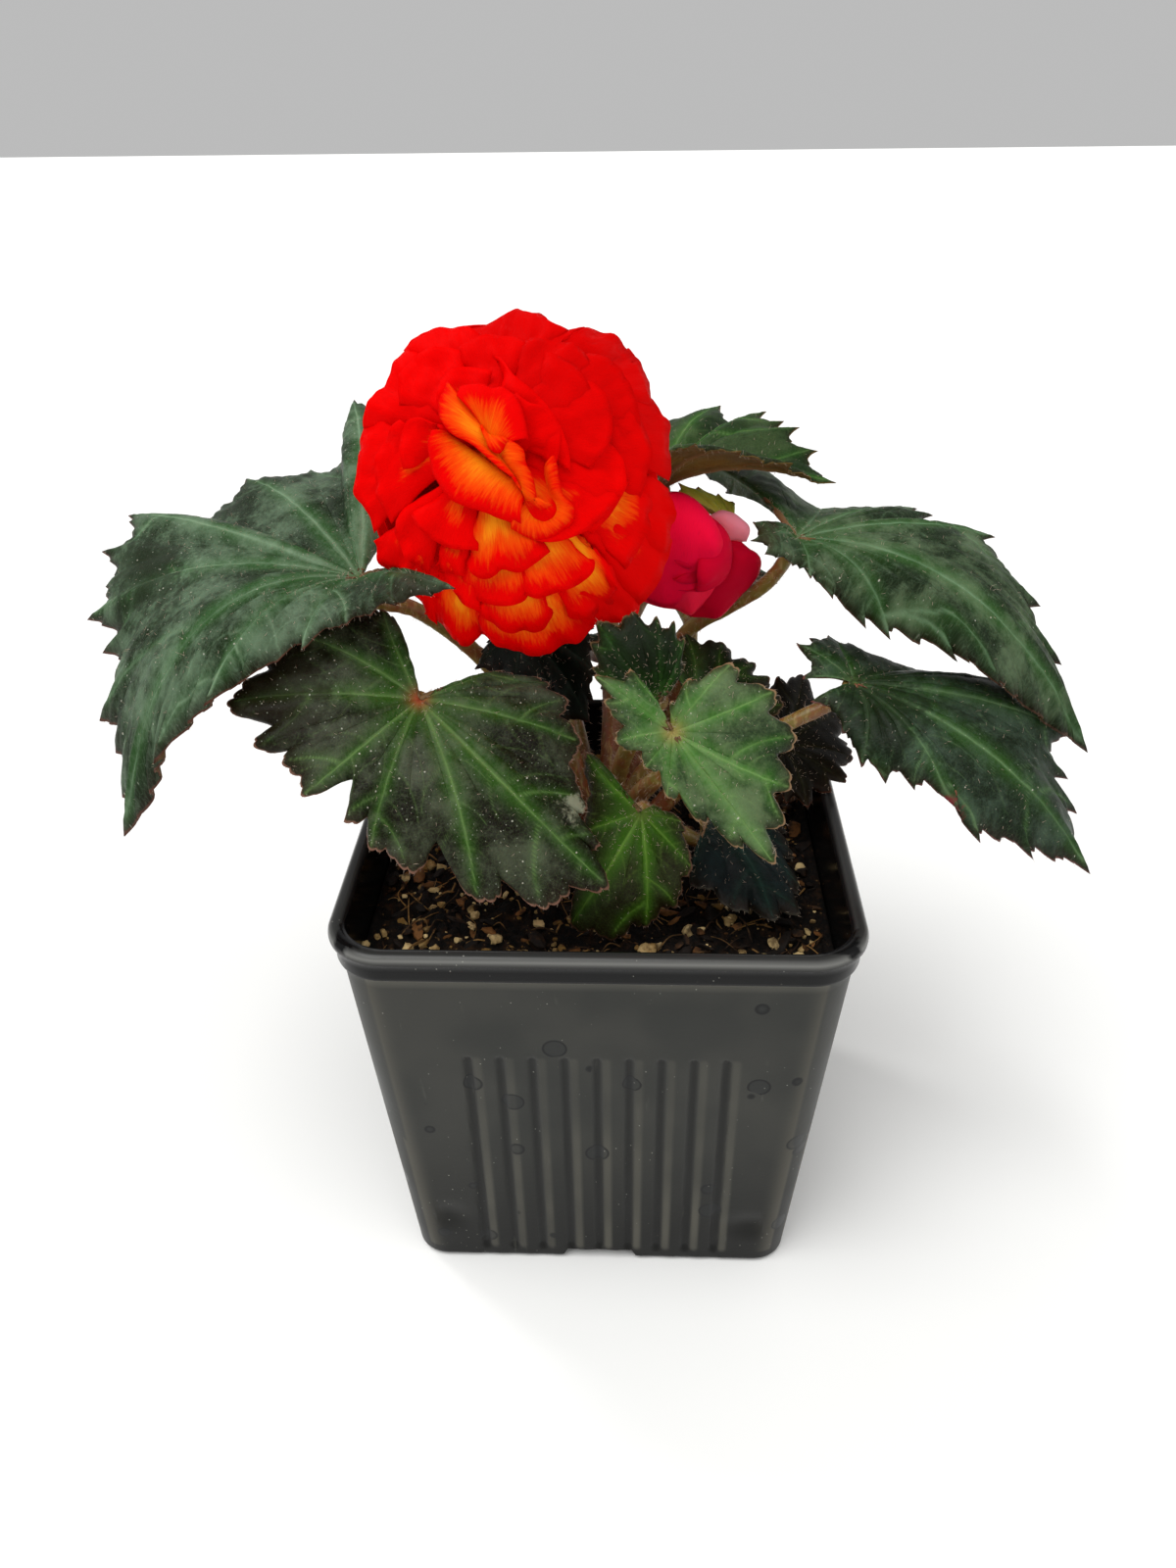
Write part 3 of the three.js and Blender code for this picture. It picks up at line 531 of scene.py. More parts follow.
def leaf_look(name, field, glow, vein, margin, under, painted_sheen, knot, painted_sheen_share, dusty, marks):
    look = Look(name, Specular_IOR_Level=0.1, Subsurface_Weight=0.05, Subsurface_Scale=0.0012)
    plane = look.place_by("plane")
    veins, halo, rim = look.field("vein"), look.field("halo"), look.field("rim")
    patches = look.noise(plane, 0.7, 4, 0.6)
    grain = look.noise(plane, 9, 3, 0.6)
    cells = look.cells(plane, 14, "DISTANCE_TO_EDGE")
    # A dark field, lit green where sap runs: round the heart and beside the veins.
    green = look.sum(halo, look.swing(patches, 0.5))
    base = look.blend(look.ramp(green, 0.1, 0.75), field, glow)
    # Pale blue-grey clouds of painted sheen, for the blades' soft satin reflections.
    sheen_cloud = look.times(look.ramp(look.noise(plane, 0.8, 5, 0.72), 0.4, 0.66), painted_sheen_share)
    base = look.over(base, sheen_cloud, painted_sheen)
    # A brown-black zone inside the margin, broken up by the patches.
    shore = look.ramp(look.sum(look.field("shore"), look.swing(patches, 0.9)), 0.3, 0.85)
    base = look.over(base, look.times(shore, 0.7), "1e1208")
    net = look.times(look.ramp(cells.outputs["Distance"], 0.05, 0.0), 0.1)
    base = look.over(base, net, vein)
    base = look.over(base, look.times(veins, look.ramp(patches, 0.3, 0.7, 0.24, 0.5)), vein)
    # Fine grain in the painted sheen's colour.
    base = look.over(base, look.times(look.ramp(grain, 0.5, 0.8), 0.3), painted_sheen)
    edge = look.sum(rim, look.swing(grain, 0.6))
    base = look.over(base, look.ramp(edge, 0.4, 0.8), margin)
    base = look.over(base, look.times(look.field("knot"), 0.8), knot)
    # The marks: darkened, reddened and scarred patches at given places, broken up by noise.
    for i, (_, _, _, tone, torn) in enumerate(marks):
        marked = look.sum(look.field(f"mark_{i}"), look.swing(look.noise(plane, 3 + i, 4, 0.7), torn))
        base = look.over(base, look.ramp(marked, 0.4, 0.9, 0.0, 0.75), tone)
    for scale, radius, tone in ((5, 0.11, "b9b7a6"), (11, 0.15, "8f9484")):
        dust = look.cells(plane, scale)
        picked = look.ramp(look.chance(dust), 1 - dusty, 1.04 - dusty)
        speck = look.times(look.ramp(dust.outputs["Distance"], radius, radius * 0.5), picked)
        base = look.over(base, look.times(speck, 0.75), tone)
    below = look.blend(look.ramp(patches, 0.35, 0.65), under, "5a4a2a")
    below = look.mix(look.times(veins, 0.5), below, colour("8a6a4a"))
    base = look.mix(look.field("under"), base, below)
    rough = look.ramp(look.sum(patches, look.times(grain, 0.3)), 0.3, 1.0, 0.36, 0.58)
    height = look.sum(look.times(cells.outputs["Distance"], 1.2), look.times(grain, 0.6))
    normal = look.bump(height, 0.16, 0.55)
    return look.finish(Base_Color=base, Roughness=rough, Normal=normal)


def petal_look(name, edge_colour, middle, base_colour, deep, pale, specular, subsurface=0.15):
    look = Look(
        name,
        Specular_IOR_Level=specular,
        Subsurface_Weight=subsurface,
        Subsurface_Scale=0.003,
        Roughness=0.6,
    )
    flow = look.place_by("flow")
    streaks = look.noise(look.stretch(flow, (1.0, 0.14, 1.0)), 2.2, 4, 0.65)
    broad = look.noise(flow, 0.12, 2)
    fine = look.noise(look.stretch(flow, (1.0, 0.08, 1.0)), 6, 3)
    feather = look.sum(look.swing(streaks, 7.0), look.swing(broad, 3.0))
    reach = look.sum(look.sum(look.field("edge"), feather), look.times(look.field("red"), -1.0))
    base = look.blend(look.ramp(reach, -1.0, 1.8), edge_colour, middle)
    base = look.over(base, look.ramp(reach, 1.2, 7.5), base_colour)
    base = look.over(base, look.times(look.ramp(fine, 0.5, 0.8), 0.3), deep)
    tint = look.field("tint")
    # Below 0 the tint darkens: the bud's darker petals, and painted shade on the bloom. Above 0 it pales.
    base = look.over(base, look.ramp(tint, 0.0, -1.0), deep)
    base = look.over(base, look.ramp(tint, 0.0, 1.0), pale)
    rough = look.ramp(streaks, 0.3, 0.7, 0.5, 0.68)
    normal = look.bump(look.sum(fine, look.times(streaks, 0.6)), 0.14, 0.45)
    return look.finish(Base_Color=base, Roughness=rough, Normal=normal)


# ---------------------------------------------------------------- pot


HIGHLIGHT_OFFSET = 0.3  # from a groove to the painted highlight beside it, as a share of the pitch
# Dents of the front face: middle in x and z, half width and height, and depth.
DENTS = ((-37, 17, 4, 3.5, 1.2), (37, 15, 5, 3, 1.2), (-6, 52, 22, 16, 0.25), (20, 88, 20, 6, -0.2))


def wall_share(z):
    return np.clip(z / POT["lip_foot"], 0, 1)


def wall_half(z):
    return POT["base_half"] + (POT["wall_half"] - POT["base_half"]) * wall_share(z)


def wall_corner(z):
    return POT["base_corner"] + (POT["corner"] - POT["base_corner"]) * wall_share(z)


def flute_shape(offset, z):
    """The grooves and the soft lands between them at an offset along a side: two shares from 0 to 1."""
    reach = (FLUTES["count"] - 1) / 2 * FLUTES["pitch"]
    nearest = np.clip(np.round(offset / FLUTES["pitch"]) * FLUTES["pitch"], -reach, reach)
    half = FLUTES["width"] / 2
    beyond = np.maximum(z - (FLUTES["top"] - half), 0) + np.maximum(FLUTES["bottom"] + half - z, 0)
    away = np.hypot(offset - nearest, beyond)
    groove = 1 - smooth(away, half * 0.35, half * 1.15)
    inside = (np.abs(offset) < reach + half) & (z < FLUTES["top"])
    dip = np.cos(math.pi * (offset - nearest) / FLUTES["pitch"]) ** 2 * inside
    return groove, dip * smooth(FLUTES["top"] - z, 0, 6)


def wall_fields(mesh):
    """Marks the wall's grooves, the painted highlight beside each, the painted highlight down the corners,
    and the lip, for the pot's finish.
    """
    points = np.empty(len(mesh.vertices) * 3, np.float32)
    mesh.vertices.foreach_get("co", points)
    x, y, z = points.reshape(-1, 3).T / MM
    facing_x = np.abs(x) >= np.abs(y)
    offset, face = np.where(facing_x, y, x), np.where(facing_x, np.abs(x), np.abs(y))
    outer = face > wall_half(z) - 1.1
    groove, _ = flute_shape(offset, z)
    # A painted highlight beside each groove, stronger low on the wall.
    painted_highlight, _ = flute_shape(offset - HIGHLIGHT_OFFSET * FLUTES["pitch"], z)
    painted_highlight = painted_highlight * (np.abs(offset) < FLUTES["count"] / 2 * FLUTES["pitch"])
    painted_highlight = painted_highlight * (0.45 + 0.55 * smooth(-z, -70, -10))
    # Painted highlights where light catches the fold under the collar and the lip's top.
    painted_highlight = np.maximum(painted_highlight, 0.8 * np.exp(-(((z - 97.6) / 0.6) ** 2)))
    painted_highlight = np.maximum(painted_highlight, np.exp(-(((z - 105.0) / 0.7) ** 2)))
    # A painted highlight down each rounded corner of the wall.
    corner = smooth(np.abs(offset), 0.78 * face, 0.97 * face) * (z < POT["collar_foot"]) * (z > 4)
    add_field(mesh, "groove", groove * outer)
    add_field(mesh, "painted_highlight", painted_highlight * outer)
    add_field(mesh, "lip", smooth(z, POT["collar_foot"], POT["collar_foot"] + 0.5))
    add_field(mesh, "corner", corner * outer)


def pot_ring(half, radius, z):
    return rounded_square(half, radius, z, *POT_GRAIN)[0]


def wall_ring(z):
    """A ring of the wall with its flutes, and the front's dents pressed in."""
    ring, offset = rounded_square(wall_half(z), wall_corner(z), z, *POT_GRAIN)
    groove, dip = flute_shape(offset, z)
    depth = np.where(offset < OFF_SIDE, FLUTES["depth"] * groove + FLUTES["land"] * dip, 0.0)
    front = ring[:, 1] < -wall_half(z) + 0.01
    for x, height, wide, tall, deep in DENTS:
        away = ((ring[:, 0] - x) / wide) ** 2 + ((z - height) / tall) ** 2
        depth = depth + np.where(front, deep * np.exp(-away), 0)
    facing_x = np.abs(ring[:, 0]) >= np.abs(ring[:, 1])
    for axis, facing in ((0, facing_x), (1, ~facing_x)):
        ring[:, axis] -= np.where(facing, np.sign(ring[:, axis]) * depth, 0)
    return ring


def pot_outside():
    base, base_corner, height = POT["base_half"], POT["base_corner"], POT["height"]
    wall, collar, rim, inner = POT["wall_half"], POT["collar_half"], POT["rim_half"], POT["rim_inner"]
    foot = (
        (base - 2.0, base_corner - 1.2, 0.0),
        (base - 1.2, base_corner - 0.9, 0.15),
        (base - 0.45, base_corner - 0.4, 0.7),
    )
    heights = [1.4, 2.0, 2.8, 3.6, 4.4, 5.2, *np.arange(6, 72, 2.0)]
    heights += [*np.arange(72, 77.2, 0.5), *np.arange(78, 97, 2.5), 97.6]
    lip = (
        (wall - 0.2, 11.0, 98.1), (collar - 0.15, 11.0, 98.5), (collar, 11.0, 99.2),
        (collar - 0.1, 11.0, 101.0), (collar + 0.1, 11.2, 102.6), (collar + 0.5, 12.0, 103.0),
        (rim - 0.35, 13.0, 103.15), (rim - 0.05, 13.0, 103.6), (rim, 13.0, 104.3), (rim - 0.1, 13.0, 105.0),
        (rim - 0.5, 12.8, 105.6), (rim - 1.1, 12.4, 105.92), (rim - 1.8, 12.0, height),
        (rim - 2.6, 11.4, height - 0.08), (rim - 3.2, 10.6, height - 0.5), (inner - 0.6, 9.8, height - 0.9),
    )
    rings = [pot_ring(*at) for at in foot]
    rings += [wall_ring(z) for z in heights]
    return closed_loft([*rings, *[pot_ring(*at) for at in lip]])


def pot_inside():
    wall, corner, rim = POT["wall"], POT["corner"], POT["rim_inner"]
    stations = (
        (wall_half(0) - wall - 1, POT["base_corner"] - wall - 0.5, wall),
        (wall_half(wall + 1) - wall, POT["base_corner"] - wall, wall + 1),
        (rim, corner - wall, POT["lip_foot"]),
        (rim, corner - wall, POT["height"] + 1),
    )
    return closed_loft([rounded_square(*at, 24, 16)[0] for at in stations])


def block_of(outline, near, far):
    """An outline in x and z, drawn out along y from near to far."""
    count = len(outline)
    front = np.array([[x, near, z] for x, z in outline])
    back = np.array([[x, far, z] for x, z in outline])
    k = np.arange(count)
    sides = np.stack([k, count + k, count + (k + 1) % count, (k + 1) % count], -1)
    return np.vstack([front, back]), [sides, [k], [k[::-1] + count]]


def notch_block(grow):
    top, bottom, height = NOTCH["top"] / 2 + grow, NOTCH["bottom"] / 2 + grow, NOTCH["height"] + grow
    outline = [(-bottom, -1), (bottom, -1), (bottom, 0), (top, height), (-top, height), (-bottom, 0)]
    near = -POT["base_half"] - 5
    return block_of(outline, near, near + 5 + NOTCH["depth"] + grow)


def drain():
    y = NOTCH["depth"] - NOTCH["drain"] - 1.5 - POT["base_half"]
    ring = polar(NOTCH["drain"], whole_turn(40), 0.0) + [0, y, 0]
    return closed_loft([ring - [0, 0, 10], ring + [0, 0, 10]])


def on_each_side(name, shape):
    """A cutter: the shape repeated on the pot's four sides."""
    points, faces = shape
    skin = Skin()
    for c, s in ((1, 0), (0, 1), (-1, 0), (0, -1)):
        skin.add(points @ np.array([[c, s, 0], [-s, c, 0], [0, 0, 1]], float), faces)
    return new_object(name, np.concatenate(skin.points), skin.faces)


def cut(target, cutter):
    """Takes the cutter out of the target's mesh and removes it."""
    modifier = target.modifiers.new("cut", "BOOLEAN")
    modifier.object, modifier.operation, modifier.solver = cutter, "DIFFERENCE", "MANIFOLD"
    graph = bpy.context.evaluated_depsgraph_get()
    made = bpy.data.meshes.new_from_object(target.evaluated_get(graph))
    target.modifiers.clear()
    target.data = made
    bpy.data.objects.remove(cutter)


def make_pot():
    pot = new_object("pot_body", *pot_outside())
    hollow = new_object("hollow", *pot_inside())
    cut(hollow, on_each_side("boxes", notch_block(POT["wall"])))
    cut(pot, hollow)
    cut(pot, on_each_side("notches", notch_block(0)))
    cut(pot, on_each_side("drains", drain()))
    wall_fields(pot.data)
    finish_piece(pot, pot_look(), "pot", crisp=38)


# ---------------------------------------------------------------- soil


SOIL_EDGE = wall_half(SOIL_TOP) - POT["wall"] - 0.7
PERLITE_COUNT, BARK_COUNT, FIBRE_COUNT = 620, 1000, 420


def soil_height(points):
    """The lumpy top of the potting mix at points in x and y."""
    share = np.clip(np.abs(points).max(1) / SOIL_EDGE, 0, 1)
    lumps = 0.75 * value_noise(points, 9, 3) + 0.5 * value_noise(points, 3.6, 4)
    lumps = lumps + 0.28 * value_noise(points, 1.8, 5)
    return SOIL_TOP + 1.2 * (1 - share) + 0.95 * lumps * smooth(1 - share, 0, 0.06)


def make_soil():
    shares = np.concatenate([np.linspace(0.01, 0.97, 96), [0.99, 1.0]])[::-1]
    rings = [
        rounded_square(wall_half(0) - 2.9, 6, 1.6, *SOIL_GRAIN)[0],
        rounded_square(wall_half(3) - 2.0, 6.5, 3.0, *SOIL_GRAIN)[0],
    ]
    for share in shares:
        ring = rounded_square(SOIL_EDGE * share, 9.0 * share, SOIL_TOP - 0.6, *SOIL_GRAIN)[0]
        if share < 1:
            ring[:, 2] = soil_height(ring[:, :2])
        rings.append(ring)
    skin = Skin()
    skin.add(*closed_loft(rings))
    skin.build("soil_mix", soil_look(), "potting_mix", "soil")


def chip(random, size, squash, rows=7, columns=10, facets=11, knobs=0.08):
    """An angular lump: a ball of points cut flat on several sides and roughened."""
    theta = np.linspace(0, math.pi, rows)[:, None]
    flat = polar(np.sin(theta), whole_turn(columns), np.cos(theta)).reshape(-1, 3)
    for way, reach in zip(unit(random.normal(size=(facets, 3))), random.uniform(0.45, 0.85, facets)):
        flat = flat - np.maximum(0, flat @ way - reach)[:, None] * way
    swell = 1 + knobs * value_noise(flat, 0.8, int(random.integers(1 << 30)))
    flat = flat * swell[:, None] * size * squash
    turn, tip = np.eye(3), np.eye(3)
    turn[:2, :2] = spin(random.uniform(0, math.pi))
    tip[::2, ::2] = spin(-random.uniform(-0.6, 0.6))
    return flat @ (turn @ tip).T, [grid_faces(rows, columns, True)]


def scattered(random, count, margin):
    """Places on the soil, kept off the crown of the plant."""
    edge = wall_half(SOIL_TOP) - 2 - margin
    spots = random.uniform(-edge, edge, (count * 2, 2))
    spots = spots[np.hypot(*spots.T) > NECK + 2][:count]
    return spots, soil_height(spots)


# The large crumbs of perlite that the photograph shows, by pixel and radius.
LARGE_CRUMBS = (
    (660, 968, 4.2), (503, 957, 3.0), (540, 980, 2.2), (595, 981, 1.8), (618, 979, 2.0), (745, 938, 2.6),
    (765, 928, 1.8), (758, 972, 2.2), (806, 962, 1.7), (450, 922, 1.9), (386, 955, 1.5), (430, 938, 1.6),
    (443, 968, 2.4), (690, 978, 2.6), (818, 968, 1.5), (372, 962, 1.8), (565, 962, 1.3), (720, 950, 1.4),
)


def make_crumbs():
    random = np.random.default_rng(21)
    perlite, bark, fibre = Skin(), Skin(), Skin()
    sizes = 0.4 + 1.7 * random.random(PERLITE_COUNT) ** 2.4
    spots, heights = scattered(random, PERLITE_COUNT, 2)
    for (x, y), z, size in zip(spots, heights, sizes):
        points, faces = chip(random, size, np.array([1, random.uniform(0.6, 1), random.uniform(0.5, 0.85)]))
        perlite.add(points + [x, y, z + 0.2 * size], faces, tone=random.random())
    for px, py, size in LARGE_CRUMBS:
        line = sight_line(px, py)
        x, y, _ = EYE + line * ((SOIL_TOP + 1 - EYE[2]) / line[2])
        points, faces = chip(random, size * 0.85, np.array([1.1, 0.9, 0.75]), 18, 26, 40, 0.16)
        perlite.add(points + [x, y, SOIL_TOP + 0.6], faces, tone=random.uniform(0.35, 0.8))
    spots, heights = scattered(random, BARK_COUNT, 2)
    for (x, y), z in zip(spots, heights):
        size = 0.5 + 3.4 * random.random() ** 2.4
        squash = np.array([1, random.uniform(0.25, 0.6), random.uniform(0.15, 0.4)])
        points, faces = chip(random, size, squash, 6, 8, 7)
        bark.add(points + [x, y, z + 0.25], faces, tone=random.random() ** 2)
    spots, heights = scattered(random, FIBRE_COUNT, 4)
    for (x, y), z in zip(spots, heights):
        turn, size = random.uniform(0, 2 * math.pi), random.uniform(1.5, 5.5)
        way = np.array([math.cos(turn), math.sin(turn), 0])
        side = np.array([-way[1], way[0], 0])
        bow, lift = random.uniform(-0.35, 0.35) * size, random.uniform(0.2, 1.8)
        ends = [[x, y, z] - way * size, [x, y, z + lift] + side * bow, [x, y, z + 0.2] + way * size]
        radii = np.array([0.05, *[random.uniform(0.08, 0.26)] * 7, 0.04])
        fibre.add(*tube(curve_through(ends, count=8), radii, 5), tone=random.random())
    for name, skin, crisp, *paint in (
        ("perlite", perlite, 28, "perlite", "80602e", "dcc088", "3e2a12", 300, 0.8),
        ("bark_chips", bark, 28, "bark", "140b05", "7a5028", "0c0703", 380, 0.75),
        ("root_fibres", fibre, None, "fibres", "2c1a0c", "96703e", "140b05", 300, 0.75),
    ):
        skin.build(name, crumb_look(*paint), "potting_mix", crisp=crisp)


# ---------------------------------------------------------------- leaves


# The blades that the photo shows: the heart, then the lobe tips, each by pixel and how far back it lies.
LEAVES = {
    "leaf_left": (
        (368, 591, -8), (424, 536, 26), (446, 470, 46), (420, 412, 60), (362, 408, 60), (351, 467, 44),
        (316, 478, 40), (250, 487, 34), (190, 537, 26), (130, 525, 14), (104, 563, 6), (89, 632, -4),
        (106, 668, -12), (101, 734, -20), (126, 852, -30), (158, 778, -36), (210, 722, -36),
        (245, 700, -34), (306, 663, -31), (354, 641, -31), (404, 619, -33), (466, 603, -38),
        (440, 595, -31),
    ),
    "leaf_front_left": (
        (428, 714, -26), (417, 668, -20), (390, 622, -16), (300, 645, -19), (233, 716, -30),
        (259, 763, -37), (288, 781, -40), (307, 815, -44), (352, 838, -46), (377, 869, -49),
        (411, 887, -51), (489, 920, -54), (557, 928, -53), (621, 908, -48), (612, 862, -42),
        (599, 822, -37), (593, 757, -29), (580, 716, -23), (562, 696, -20), (510, 685, -20),
        (450, 704, -24),
    ),
    "leaf_front_low": (
        (654, 829, -31), (634, 802, -28), (598, 768, -24), (594, 850, -32), (582, 944, -40),
        (624, 961, -42), (660, 947, -41), (690, 926, -40), (706, 885, -37), (697, 838, -33),
        (668, 820, -30),
    ),
    "leaf_centre": (
        (686, 747, -42), (668, 716, -38), (644, 684, -36), (606, 688, -37), (616, 716, -39),
        (626, 758, -44), (657, 785, -46), (680, 816, -49), (711, 838, -51), (749, 864, -55),
        (790, 883, -57), (801, 840, -50), (808, 805, -46), (813, 753, -41), (790, 706, -37),
        (746, 677, -34), (703, 692, -36), (683, 718, -39),
    ),
    "leaf_centre_high": (
        (672, 716, -30), (688, 700, -29), (699, 680, -27), (699, 651, -24), (688, 633, -23),
        (670, 629, -23), (647, 624, -23), (608, 633, -23), (602, 655, -24), (606, 684, -27),
        (646, 706, -28),
    ),
    "leaf_centre_back": (
        (707, 728, 2), (714, 748, -8), (770, 752, -4), (800, 720, 4), (785, 692, 13), (770, 677, 17),
        (738, 655, 20), (700, 646, 20), (676, 668, 12),
    ),
    "leaf_right_low": (
        (797, 763, 14), (772, 776, 8), (784, 808, 2), (802, 819, 0), (823, 825, 0), (848, 809, 6),
        (864, 799, 8), (870, 774, 16), (858, 730, 30), (818, 689, 34), (792, 692, 30), (772, 735, 22),
    ),
    "leaf_right": (
        (870, 697, -2), (827, 716, -8), (858, 750, -15), (878, 784, -20), (905, 800, -23), (935, 806, -25),
        (979, 828, -27), (1002, 860, -30), (1055, 876, -27), (1113, 891, -22), (1099, 831, -10),
        (1089, 795, -4), (1092, 751, 2), (1059, 714, 8), (1014, 703, 11), (947, 689, 13), (845, 647, 13),
        (813, 655, 4), (820, 692, -3),
    ),
    "leaf_right_high": (
        (812, 550, 14), (801, 534, 13), (767, 534, 6), (766, 552, 0), (780, 566, -2), (826, 592, 2),
        (850, 612, 0), (883, 640, -2), (910, 652, -4), (976, 674, -8), (1024, 700, -10), (1111, 767, -2),
        (1082, 680, 6), (1063, 618, 12), (1014, 550, 24), (956, 548, 27), (952, 526, 32), (934, 521, 36),
        (832, 523, 46), (765, 473, 54), (706, 470, 52), (742, 502, 42),
    ),
    "leaf_top_right": (
        (674, 496, 26), (660, 470, 12), (684, 459, 8), (710, 453, 7), (757, 459, 9), (810, 474, 14),
        (853, 492, 21), (835, 462, 30), (816, 438, 36), (800, 430, 42), (781, 419, 48), (756, 432, 50),
        (735, 413, 58), (681, 430, 62), (640, 445, 52),
    ),
    "bud_bract": (
        (744, 537, 29), (750, 514, 34), (733, 503, 34), (712, 497, 32), (693, 493, 30), (686, 502, 28),
        (702, 513, 29), (726, 524, 29),
    ),
    "leaf_under_bloom": (
        (535, 640, 16), (500, 640, 14), (496, 655, 10), (485, 682, -2), (524, 712, -10), (556, 712, -6),
        (576, 744, 2), (602, 738, 4), (612, 690, 6), (608, 640, 12), (590, 612, 22),
    ),
    "leaf_low_right": (
        (722, 838, -8), (712, 862, -16), (705, 901, -30), (750, 930, -36), (790, 942, -40), (815, 934, -36),
        (816, 906, -26), (810, 870, -14), (802, 845, -6), (760, 826, 0),
    ),
}

# The blades behind the bloom: heart in mm, facing, reach, and the margin by bearing and share.
BACK_LEAVES = {
    "leaf_back_left": ((-25, 38, 163), (208, 26), 50),
    "leaf_back_right": ((18, 52, 147), (162, 26), 44),
    "leaf_back_low": ((-11, 44, 127), (188, 34), 38),
}
BACK_MARGIN = (
    (-165, 0.34), (-140, 0.5), (-112, 0.56), (-84, 0.58), (-56, 0.66), (-28, 0.78), (0, 1),
    (26, 0.72), (54, 0.6), (82, 0.52), (110, 0.5), (140, 0.46), (165, 0.32),
)

# Field, glow, vein, margin, underside, painted sheen and heart colours, the share of painted sheen and how
# dusty it is.
LEAF_COLOURS = {
    "leaf_left": ("16220e", "2a4e22", "9cb896", "5a382c", "5a3428", "6c8468", "4c6030", 0.6, 0.5),
    "leaf_front_left": ("0e0a03", "24460a", "7c9c5a", "7a5848", "5c2c24", "5e6650", "a02c20", 0.42, 0.6),
    "leaf_front_low": ("181206", "2e5606", "7ca044", "5e4434", "241a10", "44542c", "4c5a20", 0.2, 0.12),
    "leaf_centre": ("20301a", "34661c", "88ac64", "8a6e50", "2c1c10", "6c8058", "9a8048", 0.55, 0.3),
    "leaf_centre_high": ("080f01", "184004", "4e7c38", "66543a", "241a0c", "34482a", "3c5020", 0.2, 0.1),
    "leaf_centre_back": ("0a0e02", "1c3a06", "5a7c3c", "5e4830", "1c140a", "344024", "4a4020", 0.2, 0.1),
    # leaf_right_low's near-black colours are its own dark colour deepened with painted shade.
    "leaf_right_low": ("060300", "100e02", "34341a", "4a2a1c", "1c100a", "221e14", "30200c", 0.2, 0.1),
    "leaf_right": ("0f1a0c", "20400e", "7c9c6c", "66403a", "8a3038", "4a5c4c", "4c6030", 0.45, 0.2),
    "leaf_right_high": ("162210", "284a1c", "84a480", "5e4638", "6a4a2c", "647858", "4c6030", 0.6, 0.2),
    "leaf_top_right": ("12240a", "24500e", "7ca060", "665028", "6a5424", "4c6038", "4c6030", 0.35, 0.1),
    # leaf_under_bloom lies under the bloom. Its near-black colours are its own dark colour deepened with
    # painted shade.
    "leaf_under_bloom": ("040803", "0a140a", "24382a", "2a1c18", "3a221c", "141f18", "101a10", 0.2, 0.1),
    "leaf_low_right": ("04090a", "0a1c14", "28443a", "3c3830", "3a2a24", "1c2c2c", "14241c", 0.4, 0.1),
    "bud_bract": ("a4a830", "c4c848", "dcdc8c", "8c3018", "8a7a30", "c0a850", "b4b43c", 0.1, 0.0),
    "other": ("12200e", "22421a", "6a8a5c", "5a3c30", "5c3428", "4a5c44", "3c5020", 0.35, 0.15),
}

# Darkened, reddened and scarred places on a blade: pixel, radius in pixels, colour and how torn it is.
MARKS = {
    "leaf_left": ((425, 608, 52, "231b10", 1.6), (150, 590, 60, "1c2614", 1.8)),
    "leaf_front_left": ((278, 700, 92, "171005", 1.3), (584, 822, 17, "8e9078", 2.4)),
    "leaf_centre_high": ((655, 665, 60, "0a1203", 1.2),),
    "leaf_right": ((968, 822, 15, "7c2030", 2.4), (900, 730, 70, "10190a", 1.5)),
    "leaf_right_high": ((778, 545, 22, "2c2010", 2.0),),
}


def upper_side(tips):
    """The way a blade faces: the mean normal of the fan of its lobe tips."""
    return unit(np.cross(tips[:-1], tips[1:]).sum(0))


def blade_of(name):
    """A blade's heart and its lobe tips, measured from the heart."""
    if name in LEAVES:
        origin, *lobes = [seen_at_depth(*place) for place in LEAVES[name]]
        return origin, np.array([lobe - origin for lobe in lobes])
    heart, facing, reach = BACK_LEAVES[name]
    heading, tilt = np.radians(facing)
    tips = []
    for bearing, share in BACK_MARGIN:
        b = math.radians(bearing)
        x, y = reach * share * math.sin(b), -reach * share * math.cos(b)
        y, z = y * math.cos(tilt), y * math.sin(tilt)
        c, s = math.cos(heading), math.sin(heading)
        tips.append((x * c - y * s, x * s + y * c, z))
    return np.array(heart, float), np.array(tips)


BLADES = {name: blade_of(name) for name in (*LEAVES, *BACK_LEAVES)}


def margin_samples(tips, step, roundness):
    """Rays from the heart to the margin: vectors, place within the bay, bay length, run along the margin."""
    count = len(tips)
    rays, places, lengths = [], [], []
    for i in range(count - 1):
        a, b = tips[i], tips[i + 1]
        before = tips[i - 1] if i else 2 * a - b
        after = tips[i + 2] if i + 2 < count else 2 * b - a
        length = np.linalg.norm(b - a)
        number = max(8, round(length / step))
        f = np.arange(number)[:, None] / number
        straight = a + (b - a) * f
        round_way = hermite(f, a, (b - before) / 2, b, (after - a) / 2)
        rays.append(straight + roundness * (round_way - straight))
        places.append(f[:, 0])
        lengths.append(np.full(number, length))
    rays = np.vstack([*rays, tips[-1:]])
    places = np.append(np.concatenate(places), 1.0)
    lengths = np.append(np.concatenate(lengths), lengths[-1][0])
    return rays, places, lengths, run_along(rays)


def unrolled_angles(rays):
    """Bearings that lay the rays out flat round the heart, without overlap."""
    ways = unit(rays)
    turns = np.arccos(np.clip((ways[:-1] * ways[1:]).sum(1), -1, 1))
    angles = np.concatenate([[0], np.cumsum(turns)])
    return angles * min(1.0, 5.9 / angles[-1])


